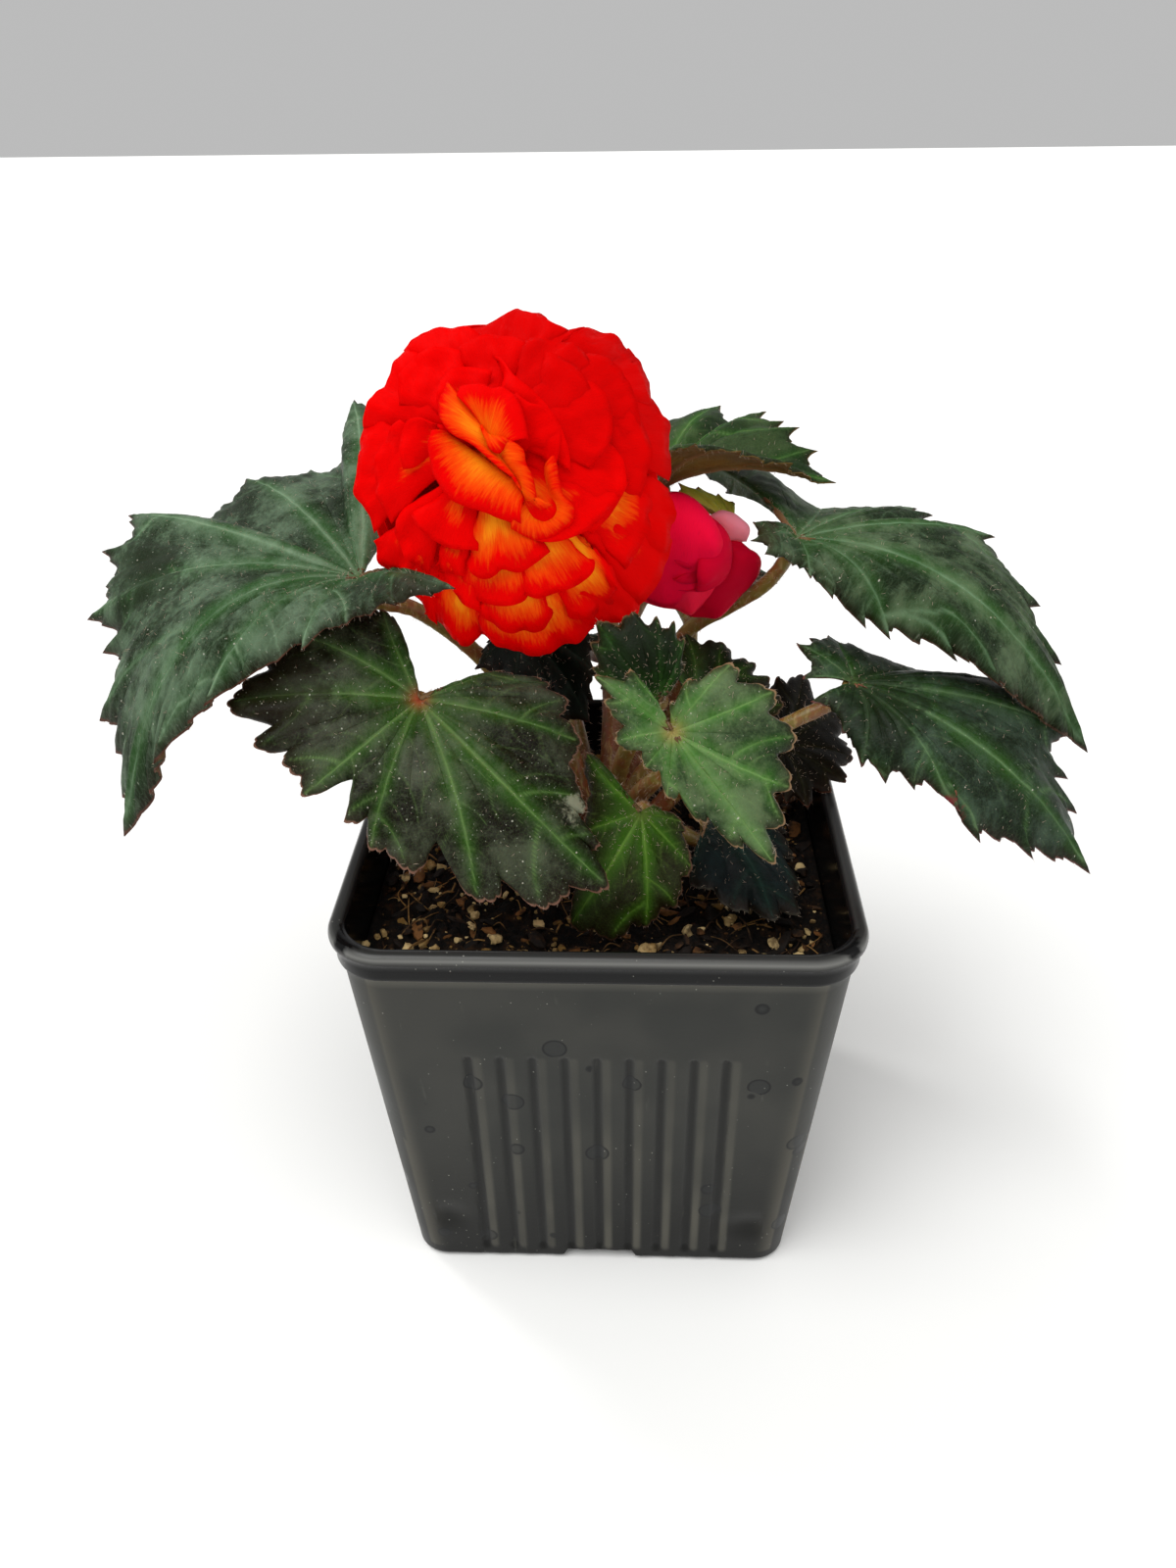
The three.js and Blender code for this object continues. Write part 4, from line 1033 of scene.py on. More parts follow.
def vein_network(reaches, angles, seed):
    """Veins on the laid-out blade, palmate with forks and side veins: start, end, widths and strength."""
    random = np.random.default_rng(seed)
    start, end, wide, thin, strength = [], [], [], [], []

    def draw(a, b, width_a, width_b, bow, strong):
        side = np.array([-(b - a)[1], (b - a)[0]])
        stops = [a + (b - a) * t + side * bow * 4 * t * (1 - t) for t in np.linspace(0, 1, 6)]
        for k in range(5):
            start.append(stops[k])
            end.append(stops[k + 1])
            wide.append(width_a + (width_b - width_a) * k / 5)
            thin.append(width_a + (width_b - width_a) * (k + 1) / 5)
            strength.append(strong)

    mains = []
    for i in np.argsort(-reaches):
        if all(abs(angles[i] - angles[j]) > 0.42 for j in mains) and len(mains) < 9:
            mains.append(i)
    heading = np.stack([np.cos(angles), np.sin(angles)], -1)
    tips = heading * reaches[:, None]
    largest = reaches.max()
    for m in mains:
        draw(np.zeros(2), tips[m] * 0.96, 0.5 + 0.4 * reaches[m] / 50, 0.16, random.uniform(-0.05, 0.05), 1.0)
    for i in range(len(reaches)):
        if i in mains:
            continue
        m = min(mains, key=lambda j: abs(angles[i] - angles[j]))
        turn = abs(angles[i] - angles[m])
        fork = reaches[i] * (math.cos(turn) - math.sin(turn) / math.tan(0.72))
        fork = np.clip(fork, 0.1 * reaches[m], 0.85 * reaches[m])
        draw(heading[m] * fork, tips[i] * 0.94, 0.42, 0.12, 0.08 * np.sign(angles[i] - angles[m]), 0.8)
    for m in mains:
        share, side = random.uniform(0.25, 0.4), 1
        while share < 0.9:
            way = angles[m] + side * random.uniform(0.55, 0.9)
            length = (0.22 * (1 - share) + 0.06) * largest * random.uniform(0.8, 1.4)
            root = heading[m] * reaches[m] * share
            tip = root + length * np.array([math.cos(way), math.sin(way)])
            draw(root, tip, 0.3, 0.08, 0.1 * side, 0.4)
            share, side = share + random.uniform(0.07, 0.16), -side
    return tuple(np.array(v) for v in (start, end, wide, thin, strength))


def vein_fields(flat, network):
    """How near each laid-out point is to a vein: crisp line, soft halo, and distance to a strong vein."""
    line, halo, away = np.zeros(len(flat)), np.zeros(len(flat)), np.full(len(flat), 99.0)
    for a, b, wa, wb, strong in zip(*network):
        way = b - a
        t = np.clip(((flat - a) @ way) / (way @ way), 0, 1)
        distance = np.linalg.norm(flat - a - t[:, None] * way, axis=1)
        width = wa + (wb - wa) * t
        line = np.maximum(line, np.exp(-((distance / (0.72 * width)) ** 2)) * strong)
        halo = np.maximum(halo, np.exp(-distance / (4.2 * width + 0.8)) * (0.55 + 0.45 * width) * strong)
        if strong > 0.7:
            away = np.minimum(away, distance)
    heart = np.exp(-np.linalg.norm(flat, axis=1) / 7.0)
    return line, np.maximum(halo, 0.9 * heart), away


# How much more the long drooping blades arch, as a share of how far a lobe hangs below the heart.
DROOP = {"leaf_left": 0.35, "leaf_right_high": 0.22, "leaf_right": 0.12}
# How pointed the margin is, tooth depth, lobe depth, frill and quilting; then the usual style.
LEAF_STYLE = {
    "leaf_left": (0.8, 1.0, 2.4, 0.5, 0.5),
    "leaf_front_left": (0.05, 0.9, 0, 0.6, 0.55),
    "leaf_front_low": (0.1, 0.8, 0, 0.4, 0.35),
    "leaf_centre": (0.05, 0.9, 0, 0.5, 0.45),
    "leaf_centre_high": (0.05, 0.8, 0, 0.4, 0.45),
    "leaf_centre_back": (0.1, 0.9, 0, 0.4, 0.45),
    "leaf_right_low": (0.1, 0.9, 0, 0.4, 0.45),
    "leaf_low_right": (0.1, 0.8, 0, 0.4, 0.45),
    "leaf_right_high": (0.9, 1.2, 2.6, 0.5, 0.45),
    "leaf_right": (0.8, 1.1, 2.4, 0.5, 0.5),
    "leaf_top_right": (0.9, 1.0, 1.8, 0.4, 0.4),
    "bud_bract": (0.8, 0.5, 0.6, 0.2, 0.1),
}
USUAL_STYLE = (0.6, 0.9, 1.6, 0.5, 0.4)
# The rounded blades have a narrow notch in each bay between lobes: its depth in mm, by bay or for all.
NOTCH_DEPTHS = {
    "leaf_front_left": (0.5, 1, 1.5, 5, 2, 0.3, 8, 2.5, 0.5, 8, 4, 1.5, 2, 1.5, 1.5, 1.5, 1.5, 1, 0.5),
    "leaf_front_low": 1.2,
    "leaf_centre": 2.6,
    "leaf_centre_high": 1.6,
    "leaf_centre_back": 2.0,
    "leaf_right_low": 2.6,
    "leaf_low_right": 1.8,
}
NOTCH_PLACE = 0.55  # where in its bay a notch lies
TOOTH_PITCH, LOBE_PITCH = 2.8, 7.4
MARGIN_STEP, RING_STEP = 0.45, 0.75


def toothed(count, serrate, fullness):
    """1 at each tooth's tip and 0 in the notches, for a running count of teeth: scalloped to saw-edged."""
    scallop = np.abs(np.cos(math.pi * count)) ** fullness
    saw = 1 - np.minimum(1, 2.2 * np.minimum(count % 1, (1 - count % 1) * 2.2))
    return (1 - serrate) * scallop + serrate * saw


def margin_trim(name, samples, reach, rings):
    """How much of each ray is cut away, ring by ring, for the bays, lobes, narrow notches and teeth."""
    serrate, tooth_size, lobe_size, _, _ = LEAF_STYLE.get(name, USUAL_STYLE)
    _, places, lengths, run = samples
    tooth = toothed(np.maximum(2, np.round(lengths / TOOTH_PITCH)) * places, serrate, 0.6)
    lobe = toothed(np.maximum(1, np.round(lengths / LOBE_PITCH)) * places, serrate, 0.75)
    bays = np.cumsum(places == 0)
    depths = np.broadcast_to(NOTCH_DEPTHS.get(name, 0.0), bays[-1])[bays - 1]
    pinch = depths * np.exp(-(((places - NOTCH_PLACE) * lengths / (1.0 + 0.24 * depths)) ** 2))
    ragged = 0.25 * value_noise(np.column_stack([run, run * 0]), 5, len(name))
    cut_off = lobe_size * (1 - lobe) * rings**7 + pinch * rings**4
    cut_off = cut_off + (tooth_size * (1 - tooth) + ragged) * rings**11
    bay = BLADE["notch"] * np.sin(math.pi * places) ** (2 - 1.2 * serrate) * rings**3
    ends = np.minimum(run, run[-1] - run)
    return (bay + cut_off / reach) * smooth(ends, 0, 3)


def blade_faces(rows, columns):
    """Faces of the upper and lower shell, each fanned to its heart, and of the rim between them."""
    index = 1 + np.arange(rows * columns).reshape(rows, columns)
    size = rows * columns + 1
    grid = grid_faces(rows, columns) + 1
    fan = np.stack([0 * index[0, :-1], index[0, :-1], index[0, 1:]], -1)
    loop = np.concatenate([[0], index[:-1, 0], index[-1, :-1], index[::-1, -1]])
    after = np.roll(loop, -1)
    rim = np.stack([loop, size + loop, size + after, after], -1)
    return [grid, fan, grid[:, ::-1] + size, fan[:, ::-1] + size, rim]


def blade_layouts(laid):
    """The shells laid out flat beside each other, for each block of faces; the rim lies on the upper."""
    extent = np.ptp(laid, axis=0)
    scale = 0.98 / max(2 * extent[0] + 2, extent[1])
    upper = (laid - laid.min(0)) * scale + 0.005
    both = np.vstack([upper, upper + [(extent[0] + 2) * scale, 0]])
    return [both] * 4 + [np.vstack([upper, upper])]


def leaf_hairs(name, sheet, upper, lower, normals, line):
    """Hairs on the margin and along the veins' undersides, with a few on the upper face."""
    rows, columns = line.shape
    random = np.random.default_rng(len(name) * 31 + columns)
    margin = np.arange(2, columns - 2, 3)
    out = unit(np.gradient(sheet, axis=0)[-1])[margin] + 0.5 * random.normal(size=(len(margin), 3))
    grow_hairs(sheet[-1][margin], out, random.uniform(0.4, 1.1, len(margin)))
    if name == "bud_bract":
        return
    number = 650 if name == "leaf_left" else 260
    anywhere = np.stack([random.integers(2, rows, number), random.integers(0, columns, number)], -1)
    ribbed = np.argwhere(line > 0.7)
    on_veins = ribbed[random.integers(0, len(ribbed), 240)]
    for shell, outward, spots, shortest, longest, spread in (
        (lower, -normals, on_veins, 0.5, 1.3, 0.45),
        (upper, normals, anywhere, 0.4, 1.2, 1.1),
    ):
        r, c = spots.T
        way = outward[r, c] + spread * random.normal(size=(len(spots), 3))
        # A hair that would lie in the blade is turned up out of it.
        way = way + outward[r, c] * np.maximum(0, 0.2 - (way * outward[r, c]).sum(1))[:, None]
        grow_hairs(shell[r, c], way, random.uniform(shortest, longest, len(spots)))


def make_leaf(name):
    origin, tips = BLADES[name]
    up = upper_side(tips)
    serrate, _, _, frill, quilt = LEAF_STYLE.get(name, USUAL_STYLE)
    samples = margin_samples(tips, MARGIN_STEP, 1.1 - 0.4 * serrate)
    rays, places, _, run = samples
    reach = np.linalg.norm(rays, axis=1)
    count = int(np.clip(reach.max() / RING_STEP, 14, 60))
    rings = np.linspace(0, 1, count + 1)[1:][:, None]
    from_margin = (1 - rings) * reach
    share = rings * (1 - margin_trim(name, samples, reach, rings))

    # The middle of the blade, arched between heart and margin and frilled at the margin.
    bay = np.sin(math.pi * places) ** 0.85
    lift = BLADE["arch"] * reach + BLADE["pucker"] * bay + DROOP.get(name, 0) * np.maximum(0, -rays[:, 2])
    wave = frill * np.sin(run * (2 * math.pi / 8.5) + 0.6 * np.sin(run / 5.0)) * rings**4
    sheet = origin + rays * share[..., None]
    sheet = sheet + up * (lift * 4 * rings * (1 - rings) + wave)[..., None]

    # The veins, drawn on the blade laid out flat. They lie sunken, and the skin between them swells.
    spread = share * reach
    angles = unrolled_angles(rays)
    flat = np.stack([spread * np.cos(angles), spread * np.sin(angles)], -1)
    corners = np.array([int(np.argmin(np.linalg.norm(rays - tip, axis=1))) for tip in tips])
    network = vein_network(reach[corners], angles[corners], len(tips) * 7 + len(name))
    line, halo, away = (v.reshape(spread.shape) for v in vein_fields(flat.reshape(-1, 2), network))
    inner = smooth(spread, 0.5, 5) * smooth(from_margin, 0, 4)
    crinkle = value_noise(flat.reshape(-1, 2), 4.5, 7).reshape(spread.shape)
    relief = (0.6 * quilt * (1 - np.exp(-away / 3.0)) + 0.08 * crinkle) * inner
    relief = relief - 0.16 * line * smooth(spread, 0, 2)
    sheet = sheet + sheet_normals(sheet) * relief[..., None]

    # Two shells, with ribs under the veins.
    normals = sheet_normals(sheet)
    normals[0] = up
    half = BLADE["half_thick"] * (0.35 + 0.65 * smooth(from_margin, 0, 2.5))
    upper = sheet + normals * half[..., None]
    lower = sheet - normals * (half + 0.32 * line * smooth(from_margin, 0, 6))[..., None]
    heart = up * half[0].mean()
    points = np.vstack([origin + heart, upper.reshape(-1, 3), origin - heart, lower.reshape(-1, 3)])

    def doubled(values, at_heart):
        return np.tile(np.append(at_heart, values.ravel()), 2)

    laid = np.vstack([[[0, 0]], flat.reshape(-1, 2)])
    place = np.column_stack([np.vstack([laid, laid + 300.0]) * 0.1, np.full(2 * len(laid), 0.37 * len(name))])
    fields = {
        "vein": doubled(line, 1.0),
        "halo": doubled(halo, 1.0),
        "rim": doubled(np.exp(-from_margin / 0.8), 0.0),
        "shore": doubled(np.exp(-from_margin / 4.5) * (name != "bud_bract"), 0.0),
        "knot": doubled(np.exp(-((spread / 2.1) ** 2)), 1.0),
        "under": np.repeat([0.0, 1.0], len(laid)),
        "plane": place,
    }
    marks = MARKS.get(name, ())
    seen_x, seen_y = pixel_of(sheet)
    for i, (x, y, radius, _, _) in enumerate(marks):
        away = np.hypot(seen_x - x, seen_y - y) / radius
        fields[f"mark_{i}"] = doubled(np.exp(-(away**2)), 0.0)
    skin = Skin()
    skin.add(points, blade_faces(*spread.shape), blade_layouts(laid), **fields)
    look = leaf_look(name, *LEAF_COLOURS.get(name, LEAF_COLOURS["other"]), marks)
    skin.build(name + "_blade", look, "bract" if name == "bud_bract" else "leaf", name)
    leaf_hairs(name, sheet, upper, lower, normals, line)


# ---------------------------------------------------------------- stalks


# The bends between the tuber and each heart, in mm.
STALK_BENDS = {
    "leaf_left": ((-4, 2, 93), (-16, 11, 122), (-28, 11, 140), (-41, 1, 157)),
    "leaf_front_left": ((-4, -2, 93), (-12, -8, 118), (-26, -17, 138)),
    "leaf_front_low": ((2, -4, 93), (3, -10, 108), (7, -20, 117)),
    "leaf_centre": ((2, -3, 93), (8, -14, 117), (14, -31, 136)),
    "leaf_centre_high": ((1, -1, 93), (4, -8, 120), (9, -20, 140)),
    "leaf_centre_back": ((3, 2, 93), (9, 4, 112)),
    "leaf_right_low": ((4, 2, 93), (20, 8, 107)),
    "leaf_right": ((5, 0, 93), (22, 0, 116), (44, 0, 130)),
    "leaf_right_high": ((3, 4, 93), (13, 20, 124), (20, 28, 139), (30, 26, 147), (38, 19, 156)),
    "leaf_top_right": ((1, 4, 93), (3, 20, 132), (-1, 28, 158), (4, 27, 171)),
    "leaf_under_bloom": ((-3, 2, 93), (-8, 8, 118)),
    "leaf_low_right": ((5, -2, 93), (14, -4, 103)),
    "leaf_back_left": ((-4, 4, 93), (-14, 20, 128)),
    "leaf_back_right": ((2, 4, 93), (16, 24, 118), (22, 42, 134)),
    "leaf_back_low": ((-1, 4, 93), (-6, 24, 110)),
}


def make_stems():
    skin = Skin()
    random = np.random.default_rng(5)
    # The tuber and its neck, with the scars and bumps of old growth.
    fine = curve_through([(r, 0, z) for r, z in TUBER], count=46)
    flat = polar(fine[:, :1], whole_turn(48), fine[:, 2:]).reshape(-1, 3)
    knobs = 0.7 * value_noise(flat, 7, 12) + 0.3 * value_noise(flat, 2.5, 13)
    flat = flat + unit(flat * [1, 1, 0] + [0, 0, 1e-6]) * (knobs * smooth(flat[:, 2], 80, 90))[:, None]
    skin.add(flat, [grid_faces(len(fine), 48, True)[:, ::-1]], run=0.0, bark=1.0)
    routes = []
    for name, bends in STALK_BENDS.items():
        origin, tips = BLADES[name]
        up = upper_side(tips)
        routes.append([*bends, origin - up * 5.9, origin - up * 0.3])
    for bends, at, way, below in (
        (((1, 3, 93), (2, 14, 130), (0, 20, 155)), BLOOM_AT, BLOOM_WAY, 21),
        (((2, 14, 130), (9, 26, 149), (25, 34, 160)), BUD_AT, BUD_WAY, 16),
    ):
        routes.append([*bends, at - way * below, at - way * FLOWER_BASE])
    sides = STALK["sides"]
    for route in routes:
        line = curve_through(route, spacing=0.9)
        share = np.linspace(0, 1, len(line))
        radii = STALK["foot"] + (STALK["tip"] - STALK["foot"]) * share
        radii = radii * (1 + 0.05 * np.sin(share * 9 + len(line))) + 0.5 * smooth(share, 0.93, 1.0) ** 2
        points, faces = tube(line, radii, sides)
        centre = np.vstack([np.repeat(line, sides, 0), line[:1], line[-1:]])
        ribbing = 0.05 * value_noise(points, 2.2, len(line))
        points = points + unit(points - centre + 1e-9) * ribbing[:, None]
        run = np.append(np.repeat(share, sides), [0, 1])
        skin.add(points, faces, run=run, bark=np.clip(1 - run * 14, 0, 1))
        number = len(line) * 5
        picks = random.integers(sides * 3, len(points) - 2 - sides, number)
        way = unit(points[picks] - centre[picks]) + 0.35 * random.normal(size=(number, 3))
        grow_hairs(points[picks], way, random.uniform(0.5, 1.5, number))
    skin.build("leaf_stalks", stalk_look(), "stalk", "stems")


# ---------------------------------------------------------------- bloom and bud


def turned_to(way):
    """The shortest turn that takes +Z to `way`, as a matrix of columns."""
    cross = np.cross([0, 0, 1], way)
    k = np.array([[0, -cross[2], cross[1]], [cross[2], 0, -cross[0]], [-cross[1], cross[0], 0]])
    return np.eye(3) + k + k @ k / (1 + way[2])


BLOOM_AT, BLOOM_WAY = seen_at_depth(527, 490, -12), leaning(4, 67)
BUD_AT, BUD_WAY = seen_at_depth(706, 566, 17), leaning(-35, 97)
BLOOM_TURN, BUD_TURN = turned_to(BLOOM_WAY), turned_to(BUD_WAY)
SKEW = np.array([-0.2, 0.2])  # how the bloom's layers lean sideways as they rise
# How each flower stands: its turn, its place and its skew.
BLOOM_STAND, BUD_STAND = (BLOOM_TURN, BLOOM_AT, SKEW), (BUD_TURN, BUD_AT, (0, 0))
FLOWER_BASE = 12.6  # from a flower's place down to the end of its stalk
ROOT = (1.5, -9.0)  # where the petals start: distance from the axis and height
# The bloom's domed face: distances from the axis and heights.
DOME = ((0, 4.5, 10, 16, 22, 28, 32, 36), (18.3, 18, 17, 14, 10, 5, -2, -9))
# Folds above the shoulder's height are pressed down by a share, so that the flower keeps its height.
BLOOM_SHOULDER, SHOULDER_SHARE = 216.0, 0.26

# The lips of the bloom's petals, from the outline inwards: lift above the dome, width of the red band
# along the lip in mm, and the lip by pixel. ALL_RED is wider than any petal.
ALL_RED = 40
LIPS = (
    (0, ALL_RED, ((476, 334), (491, 329), (511, 317), (531, 312), (548, 316), (562, 329), (577, 336))),
    (0, ALL_RED, ((562, 333), (580, 335), (600, 336), (617, 343), (633, 352), (648, 370))),
    (-0.5, ALL_RED, ((637, 356), (648, 370), (659, 390), (663, 408), (669, 418))),
    (0, ALL_RED, ((661, 405), (671, 422), (680, 431), (681, 451), (681, 468), (679, 488))),
    (-0.5, 12, ((677, 491), (684, 517), (686, 528), (680, 537), (679, 557), (674, 577))),
    (0, 8, ((680, 548), (677, 571), (666, 594), (654, 609), (646, 614))),
    (-0.5, 8, ((652, 600), (647, 623), (626, 632), (605, 634), (597, 640))),
    (0, 3, ((603, 634), (577, 654), (551, 663), (522, 660), (505, 652), (488, 634))),
    (-0.5, 4, ((505, 649), (488, 650), (476, 656), (465, 646), (459, 639), (436, 620))),
    (0, 7, ((445, 632), (433, 617), (419, 591), (393, 574), (384, 548))),
    (-0.3, ALL_RED, ((382, 540), (376, 520), (366, 502), (367, 474), (367, 451), (376, 425))),
    (0, ALL_RED, ((372, 434), (387, 405), (397, 390), (405, 373), (419, 350))),
    (-0.5, ALL_RED, ((413, 357), (425, 346), (439, 337), (465, 333), (479, 334), (488, 342))),
    (0.5, ALL_RED, ((407, 411), (412, 385), (427, 366), (450, 357), (471, 359))),
    (0.3, ALL_RED, ((465, 359), (485, 347), (511, 342), (528, 345), (539, 356))),
    (0.5, ALL_RED, ((528, 347), (551, 345), (574, 350), (594, 362), (608, 379))),
    (0.3, ALL_RED, ((597, 362), (620, 370), (637, 390), (646, 413), (648, 434))),
    (0.5, ALL_RED, ((640, 413), (654, 434), (660, 462), (654, 491), (648, 508))),
    (0.3, 4, ((654, 491), (663, 514), (660, 537), (648, 557), (634, 577))),
    (0.2, 3.2, ((577, 623), (588, 626), (608, 623), (627, 614), (620, 577), (603, 557))),
    (0.3, 2.2, ((562, 620), (551, 639), (522, 639), (499, 629), (485, 617))),
    (0.5, 3, ((488, 620), (471, 609), (459, 591), (450, 577))),
    (0.3, 9, ((436, 580), (419, 568), (407, 548), (399, 525))),
    (0.5, 6, ((399, 531), (387, 502), (386, 474), (393, 451), (410, 431))),
    (0.8, 2.2, ((534, 600), (548, 606), (568, 600), (588, 594), (603, 577), (600, 566))),
    (0.6, 2.5, ((465, 597), (485, 609), (511, 614), (534, 609), (539, 594))),
    (0.8, 5, ((412, 474), (412, 445), (419, 431), (430, 426), (448, 434))),
    (0.8, 4, ((450, 428), (448, 405), (456, 385), (473, 376), (499, 379))),
    (0.8, ALL_RED, ((505, 362), (522, 385), (551, 411), (568, 439), (562, 474))),
    (0.8, ALL_RED, ((582, 385), (603, 393), (620, 419), (617, 454), (597, 474))),
    (0.6, ALL_RED, ((555, 362), (580, 372), (600, 400), (606, 432))),
    (0.8, 12, ((600, 440), (628, 462), (634, 492), (622, 520), (600, 540))),
    (
        1.0, 2.2,
        ((476, 557), (479, 577), (491, 587), (505, 583), (511, 577), (528, 580), (548, 568), (558, 557)),
    ),
    (1.0, 7, ((522, 531), (539, 545), (562, 550), (594, 540), (617, 520), (637, 491))),
    (1.0, 5, ((420, 520), (440, 545), (462, 556), (486, 556))),
    (0.8, 3, ((440, 570), (455, 580), (476, 584))),
    (1.0, ALL_RED, ((511, 388), (534, 411), (557, 419), (574, 451), (577, 477))),
)

# The folded petals of the eye, round its slit: lift, width of the red band, how deep the inner edge
# sinks, the inner edge and the lip by pixel.
EYE_PETALS = (
    (
        1.2, 1.2, 4.0,
        (
            (552, 478), (556, 495), (560, 508), (560, 516), (556, 522),
            (548, 524), (541, 520), (536, 512), (532, 505),
        ),
        (
            (565, 464), (569, 484), (575, 506), (585, 518), (583, 532),
            (569, 544), (549, 550), (534, 546), (520, 539),
        ),
    ),
    (
        1.6, 2.8, 3.0,
        ((452, 437), (470, 449), (490, 463), (510, 478), (524, 488), (531, 502)),
        ((440, 440), (437, 458), (440, 479), (450, 497), (460, 509), (489, 521), (509, 529), (532, 536)),
    ),
    (
        1.8, 1.6, 2.6,
        ((484, 424), (497, 445), (512, 467), (526, 487), (530, 497)),
        ((456, 388), (447, 404), (448, 425), (457, 436), (480, 452), (503, 470), (526, 488)),
    ),
    (
        2.2, 3.4, 3.0,
        ((486, 424), (490, 432), (496, 441), (502, 450), (506, 454)),
        ((465, 403), (469, 393), (489, 390), (500, 394), (512, 393), (526, 407), (534, 425), (538, 447)),
    ),
    (
        2.0, 0.9, 3.0,
        ((486, 426), (500, 450), (514, 471), (528, 492), (533, 506)),
        (
            (499, 456), (509, 462), (515, 455), (522, 450), (532, 458),
            (535, 472), (544, 487), (549, 509), (554, 518), (563, 514),
        ),
    ),
)


def on_dome(px, py, lift):
    """Where the bloom's dome is seen at a pixel, from the flower's leaning axis: x, y and height."""
    line = sight_line(px, py)
    height = 8.0
    for _ in range(12):
        plane = BLOOM_AT + BLOOM_WAY * height
        at = EYE + line * (((plane - EYE) @ BLOOM_WAY) / (line @ BLOOM_WAY))
        x, y, _ = BLOOM_TURN.T @ (at - BLOOM_AT)
        x, y = x - SKEW[0] * (height + 9), y - SKEW[1] * (height + 9)
        height = 0.5 * height + 0.5 * (np.interp(math.hypot(x, y), *DOME) + lift)
    return np.array([x, y, height])


def ruffled(grid, strength, seed):
    """The sheet pushed along its normals by broad and small folds that grow to its lip."""
    flat = grid.reshape(-1, 3)
    broad = value_noise(flat + seed * 7.0, 8, seed + 40).reshape(grid.shape[:2])
    small = value_noise(flat + seed * 5.0, 3.2, seed + 80).reshape(grid.shape[:2])
    return grid + sheet_normals(grid) * ((broad + 0.35 * small) * strength)[..., None]


def distance_from_lip(grid):
    """How far each point of a petal is from its lip, along its column."""
    steps = np.linalg.norm(np.diff(grid, axis=0), axis=-1)
    return np.vstack([np.cumsum(steps[::-1], axis=0)[::-1], np.zeros((1, grid.shape[1]))])


def finished_petal(grid, across, from_side, seed):
    """A petal's points, how far each is from the petal's edge, and its place among the streaks."""
    from_lip = distance_from_lip(grid)
    flow = np.stack([across + seed * 20.0 + 0 * from_lip, from_lip, 0 * from_lip + seed], -1)
    return grid, np.minimum(from_lip, from_side), flow


def eye_petal(inner, lip, depth, seed, rows=26, columns=40):
    """A folded petal of the eye: from the base up to a sunken inner edge, then open to its lip."""
    inner, lip = curve_through(inner, count=columns), curve_through(lip, count=columns)
    t = np.linspace(-1, 1, columns + 1)
    share = np.linspace(0, 1, rows + 1)[:, None, None]
    root = 0.15 * inner * [1, 1, 0] + [0, 0, ROOT[1]]
    sunk = inner - [0, 0, depth]
    face = np.clip((share - 0.3) / 0.7, 0, 1)
    grid = (root + (sunk - root) * smooth(share, 0, 0.35)) * (1 - face) + face * lip
    face = face[..., 0]
    grid[..., 2] += depth * 0.45 * np.sin(math.pi * face) - 0.5 * smooth(face, 0.86, 1) ** 2
    width = run_along(lip)[-1] / 2
    return finished_petal(ruffled(grid, 0.22 * face, seed), t * width, (1 - np.abs(t)) * width + 2.0, seed)


def petal_sheet(lip, seed, sink=4.6, ruffle=0.55, gather=1.0, curl=0.7, rows=22, columns=34):
    """A petal that lies along the dome from the flower's base to a lip given as points."""
    lip = curve_through(lip, count=columns)
    t = np.linspace(-1, 1, columns + 1)
    width = run_along(lip)[-1] / 2
    span = np.hypot(lip[:, 0], lip[:, 1])
    bearing = np.unwrap(np.arctan2(lip[:, 1], lip[:, 0]))
    middle = np.average(bearing, weights=span + 1)
    along = np.linspace(0, 1, rows + 1)[:, None]
    turn = middle + (bearing - middle) * (0.5 + 0.5 * along)
    out = ROOT[0] + (span - ROOT[0]) * along
    rise = lip[:, 2] - 1.6 * np.abs(t) ** 5 + np.interp(out, *DOME) - np.interp(span, *DOME)
    rise = rise - sink * (1 - along) ** 0.85
    climb, tip = smooth(along, 0, 0.25), smooth(along, 0.84, 1.0) ** 2
    rise = rise * climb + ROOT[1] * (1 - climb) - 0.3 * curl * tip
    out = out + curl * tip
    grid = ruffled(polar(out, turn, rise), ruffle * along**gather, seed)
    from_side = (1 - np.abs(t)) * width * np.clip(0.3 + out / np.maximum(span, 1), 0.3, 1.2)
    return finished_petal(grid, t * width * (0.4 + 0.6 * along), from_side + 1.2, seed)


def add_petal(skin, petal, red, stand, half=0.3, tint=0.0):
    """Gives a petal its thickness and sets it on its flower."""
    (grid, edge, flow), (turn, at, skew) = petal, stand
    grid = grid + (grid[..., 2:] - ROOT[1]) * [*skew, 0]
    normals = sheet_normals(grid)
    thin = half * (0.45 + 0.55 * smooth(edge, 0, 1.5))[..., None]
    faces = grid_faces(*edge.shape)
    size = edge.size
    index = np.arange(size).reshape(edge.shape)
    loop = np.concatenate([index[0, :-1], index[:-1, -1], index[-1, :0:-1], index[:0:-1, 0]])
    after = np.roll(loop, -1)
    rim = np.stack([loop, after, size + after, size + loop], -1)
    points = np.vstack([(grid + normals * thin).reshape(-1, 3), (grid - normals * thin).reshape(-1, 3)])
    skin.add(
        points @ turn.T + at,
        [faces, faces[:, ::-1] + size, rim],
        edge=np.tile(edge.ravel(), 2),
        red=float(red),
        tint=float(tint),
        flow=np.tile(flow.reshape(-1, 3), (2, 1)),
    )


